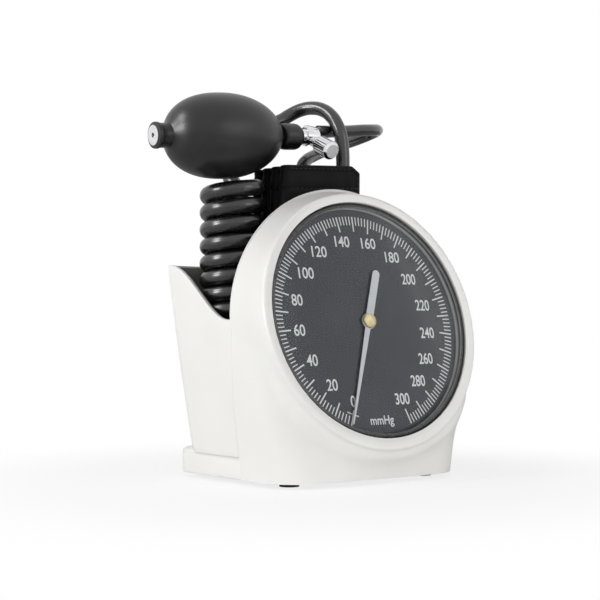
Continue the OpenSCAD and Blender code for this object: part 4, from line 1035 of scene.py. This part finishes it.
def makeNumerals(facts):
    parts = [printText(*facts["unit"], facts)]
    for value, x, y in facts["numerals"]:
        width = facts["numeralWidths"][len(str(value)) - 1]
        parts.append(printText(str(value), x / 1000, y / 1000, width, facts["numeralHeight"], facts))
    return newObject("numerals", joined(parts), 30)


def inkFinish():
    finish = Finish("dialInk")
    wear = finish.noise(0.0006, 4)
    shade = finish.mix(finish.spread(wear, 0, 1, 0.35, 0.75), 0.74, 0.66)
    return finish.shade(shade, finish.spread(wear, 0.45, 0.6), finish.bump(wear, 0.00001))


def dialFinish():
    finish = Finish("dialPaint")
    speck = finish.noise(0.0003, 2)
    cloud = finish.noise(0.03, 3)
    shade = finish.mix(finish.spread(speck, 0, 0.5) + finish.spread(cloud, 0, 0.5), (0.062, 0.063, 0.070),
                       (0.080, 0.081, 0.089))
    return finish.shade(shade, finish.spread(cloud, 0.42, 0.5), finish.bump(speck, 0.00001), specular=0.15)


def glassFinish():
    # clear pane: only its reflection shows at a slant
    finish = Finish("lensPane")
    smear = finish.noise(0.05, 3)
    fresnel = finish.node("ShaderNodeFresnel", None, {"IOR": 1.46})
    clear = finish.node("ShaderNodeBsdfTransparent", None, {"Color": (0.97, 0.98, 0.98, 1)})
    gloss = finish.node("ShaderNodeBsdfGlossy", None, {"Roughness": 0.04, "Color": (0.9, 0.9, 0.9, 1)})
    share = fresnel * finish.spread(smear, 0.04, 0.06)
    return finish.end(finish.node("ShaderNodeMixShader", None, {0: share, 1: clear, 2: gloss}))


ink = inkFinish()
settle(makeScale(dialFacts), ink)
settle(makeNumerals(dialFacts), ink)
print("dial printed")


# bezel, lens and bevel ring, as outlines of (radius, height over the dial) in millimetres
windowFacts = dict(
    bezel=[(72.9, -4), (74.2, -4), (74.2, 4.6), (74.05, 5.2), (73.6, 5.75), (73, 6), (71.9, 6.15),
           (71.45, 6.05), (71.25, 5.8), (71.2, 5.5), (71.3, 5.25), (72.9, 5.2), (72.9, -4)],
    lens=[(0, 4.4), (72.6, 4.4), (72.6, 5.1), (0, 5.1)],
    bevel=[(71.6, 0.02), (72.7, 0.02), (72.7, 4.3), (72.0, 4.3), (71.9, 4.2), (71.6, 0.02)])


def bevelFinish():
    # painted reflection of the dial on the grey ring: painted shade in the corner, a painted light band above
    # it, and dark again under the lens
    finish = Finish("bevelPaintAndReflection")
    height = windowFrame(finish)[1]
    cloud = finish.noise(0.02, 3)
    # painted shade in the corner and a painted light band above it; dark again higher up, under the lens
    lower = finish.mix(finish.spread(height, 0, 1, 0, 1.5), 0.1, 0.5)
    shade = finish.mix(finish.spread(height, 0, 1, 1.7, 3.9), lower, 0.13)
    return finish.shade(shade, finish.spread(cloud, 0.45, 0.55), finish.bump(cloud, 0.00002))


def bezelFinish():
    # black paint, with a painted highlight along the lip's inner edge
    finish = Finish("bezelBlack")
    radius, height = windowFrame(finish)
    cloud = finish.noise(0.01, 3)
    # painted highlight along the lip's inner edge
    lipHighlight = finish.spread(radius, 1, 0, 71.3, 71.6) * finish.spread(height, 1, 0, 5.8, 6.05)
    black = finish.mix(finish.spread(cloud, 0, 1), (0.012, 0.012, 0.013), 0.02)
    return finish.shade(finish.mix(lipHighlight, black, 0.32), finish.spread(cloud, 0.22, 0.32),
                        finish.bump(cloud, 0.00001), coat=0.3, coatRoughness=0.3)


windowPieces = [("lens", "lensPane", glassFinish, "lens_clear", "lens"),
                ("bevel", "bevelRing", bevelFinish, "bevel_grey", "bevel_ring"),
                ("bezel", "bezelRing", bezelFinish, "bezel_black", "bezel_ring")]
for outline, name, maker, slot, node in windowPieces:
    profile = [(radius / 1000, height / 1000) for radius, height in windowFacts[outline]]
    finishes[name] = maker()
    settle(newObject(name, turned(profile, windowPlace, 256), 35), finishes[name], [node])
finishes["dialPaint"] = dialFinish()
print("bezel, lens and bevel ring turned")


# base screws: the CAD's own, with flatter heads
def makeFlatScrews(plateHeight=0.0032, share=0.3):
    bm = bmeshOf(nodes["base_screws"].data)
    bmesh.ops.remove_doubles(bm, verts=bm.verts, dist=1e-6)
    for v in bm.verts:
        v.co.z = max(v.co.z, plateHeight - (plateHeight - v.co.z) * share)
    return newObject("flatScrews", outward(bm), 30)


settle(makeFlatScrews(), finishes["screwSteel"], ["base_screws"])

nodeGroups = dict(
    frontPlastic="front_shell", shellPlastic="rear_basket", linerPaintedShade="basket_liner",
    baseSheet="base_plate", footRubber="rubber_feet", caseMetal="gauge_case", dialPaint="dial_plate",
    screwSteel="wall_screws base_screws case_screws movement_pillars movement_screws capsule_stem inlet_ball",
    bevelRing="bevel_ring", lensPane="lens", bezelRing="bezel_ring", pointerPaint="pointer",
    capBrass="pointer_cap", springSteel="hairspring", capsuleBronze="capsule",
    gearBrass="pinion_shaft sector_gear movement_base movement_bridge gauge_nipple",
    connectorPlastic="hose_connector", hoseRubber="gauge_hose coil_hose coil_lead",
    tubeRubber="bladder_tube inflation_tube", cuffNylon="cuff", bladderRubber="bladder",
    hookNylon="hook_patch", bulbRubber="bulb", chromePlate="inlet_valve release_valve thumb_screw")
dressed = 0
for finish, names in nodeGroups.items():
    for name in names.split():
        nodes[name].data.materials.clear()
        nodes[name].data.materials.append(finishes[finish])
        dressed += 1
print("cad nodes dressed:", dressed)


# table, backdrop and lamps
studioFacts = dict(
    floorSize=3.0, worldLevel=0.18, floorFade=(0.1, 0.3),
    lamps=[dict(name="left", place=(-1.6, 0.1, 0.62), size=0.45, power=11.6, mirrored=True),
           dict(name="upperLeft", place=(-1.05, 0.3, 1.0), size=0.4, power=5.8, mirrored=True),
           dict(name="floorLeft", place=(-0.42, -0.62, 0.02), size=0.25, power=1.2, mirrored=False),
           dict(name="floorRight", place=(0.15, -0.64, 0.02), size=0.25, power=2.6, mirrored=False),
           dict(name="frontRight", place=(0.6, -1.4, 0.6), size=0.7, power=2.3, mirrored=True)])


def makeStudio(facts):
    bm = bmesh.new()
    bmesh.ops.create_grid(bm, x_segments=2, y_segments=2, size=facts["floorSize"])
    floor = newObject("floor", bm)
    finish = Finish("floorWhite")
    cloud = finish.noise(0.5, 2)
    paint = finish.node("ShaderNodeBsdfPrincipled", None, {
        "Base Color": finish.mix(finish.spread(cloud, 0, 1), 0.9, 0.88),
        "Roughness": 0.8})
    glow = finish.node("ShaderNodeEmission", None, {"Color": (1, 1, 1, 1), "Strength": 1.0})
    seen = finish.node("ShaderNodeLightPath", output="Is Camera Ray")
    away = finish.node("ShaderNodeVectorMath", {"operation": "LENGTH"}, {0: finish.place}, output="Value")
    share = finish.spread(away, 0.8, 1, *facts["floorFade"])
    floor.data.materials.append(finish.end(
        finish.node("ShaderNodeMixShader", None, {0: seen * share, 1: paint, 2: glow})))
    sky = Finish("studio", bpy.data.worlds)
    soft, white = (sky.node("ShaderNodeBackground", None, {"Color": (1, 1, 1, 1), "Strength": level})
                   for level in (facts["worldLevel"], 1))
    camera = sky.node("ShaderNodeLightPath", output="Is Camera Ray")
    mirror = sky.node("ShaderNodeLightPath", output="Is Glossy Ray")
    shown = sky.node("ShaderNodeMath", {"operation": "MAXIMUM"}, {0: camera, 1: mirror})
    bpy.context.scene.world = sky.end(sky.node("ShaderNodeMixShader", None, {0: shown, 1: soft, 2: white}),
                                      "ShaderNodeOutputWorld")
    for lamp in facts["lamps"]:
        data = bpy.data.lights.new(lamp["name"], "AREA")
        data.size = lamp["size"]
        data.energy = lamp["power"]
        light = bpy.data.objects.new(lamp["name"], data)
        light.location = lamp["place"]
        light.rotation_euler = (Vector((0, 0, 0.1)) - light.location).to_track_quat("-Z", "Y").to_euler()
        light.visible_glossy = lamp["mirrored"]
        bpy.context.scene.collection.objects.link(light)
    bpy.context.scene.view_settings.view_transform = "Standard"


makeStudio(studioFacts)
print("studio lit")
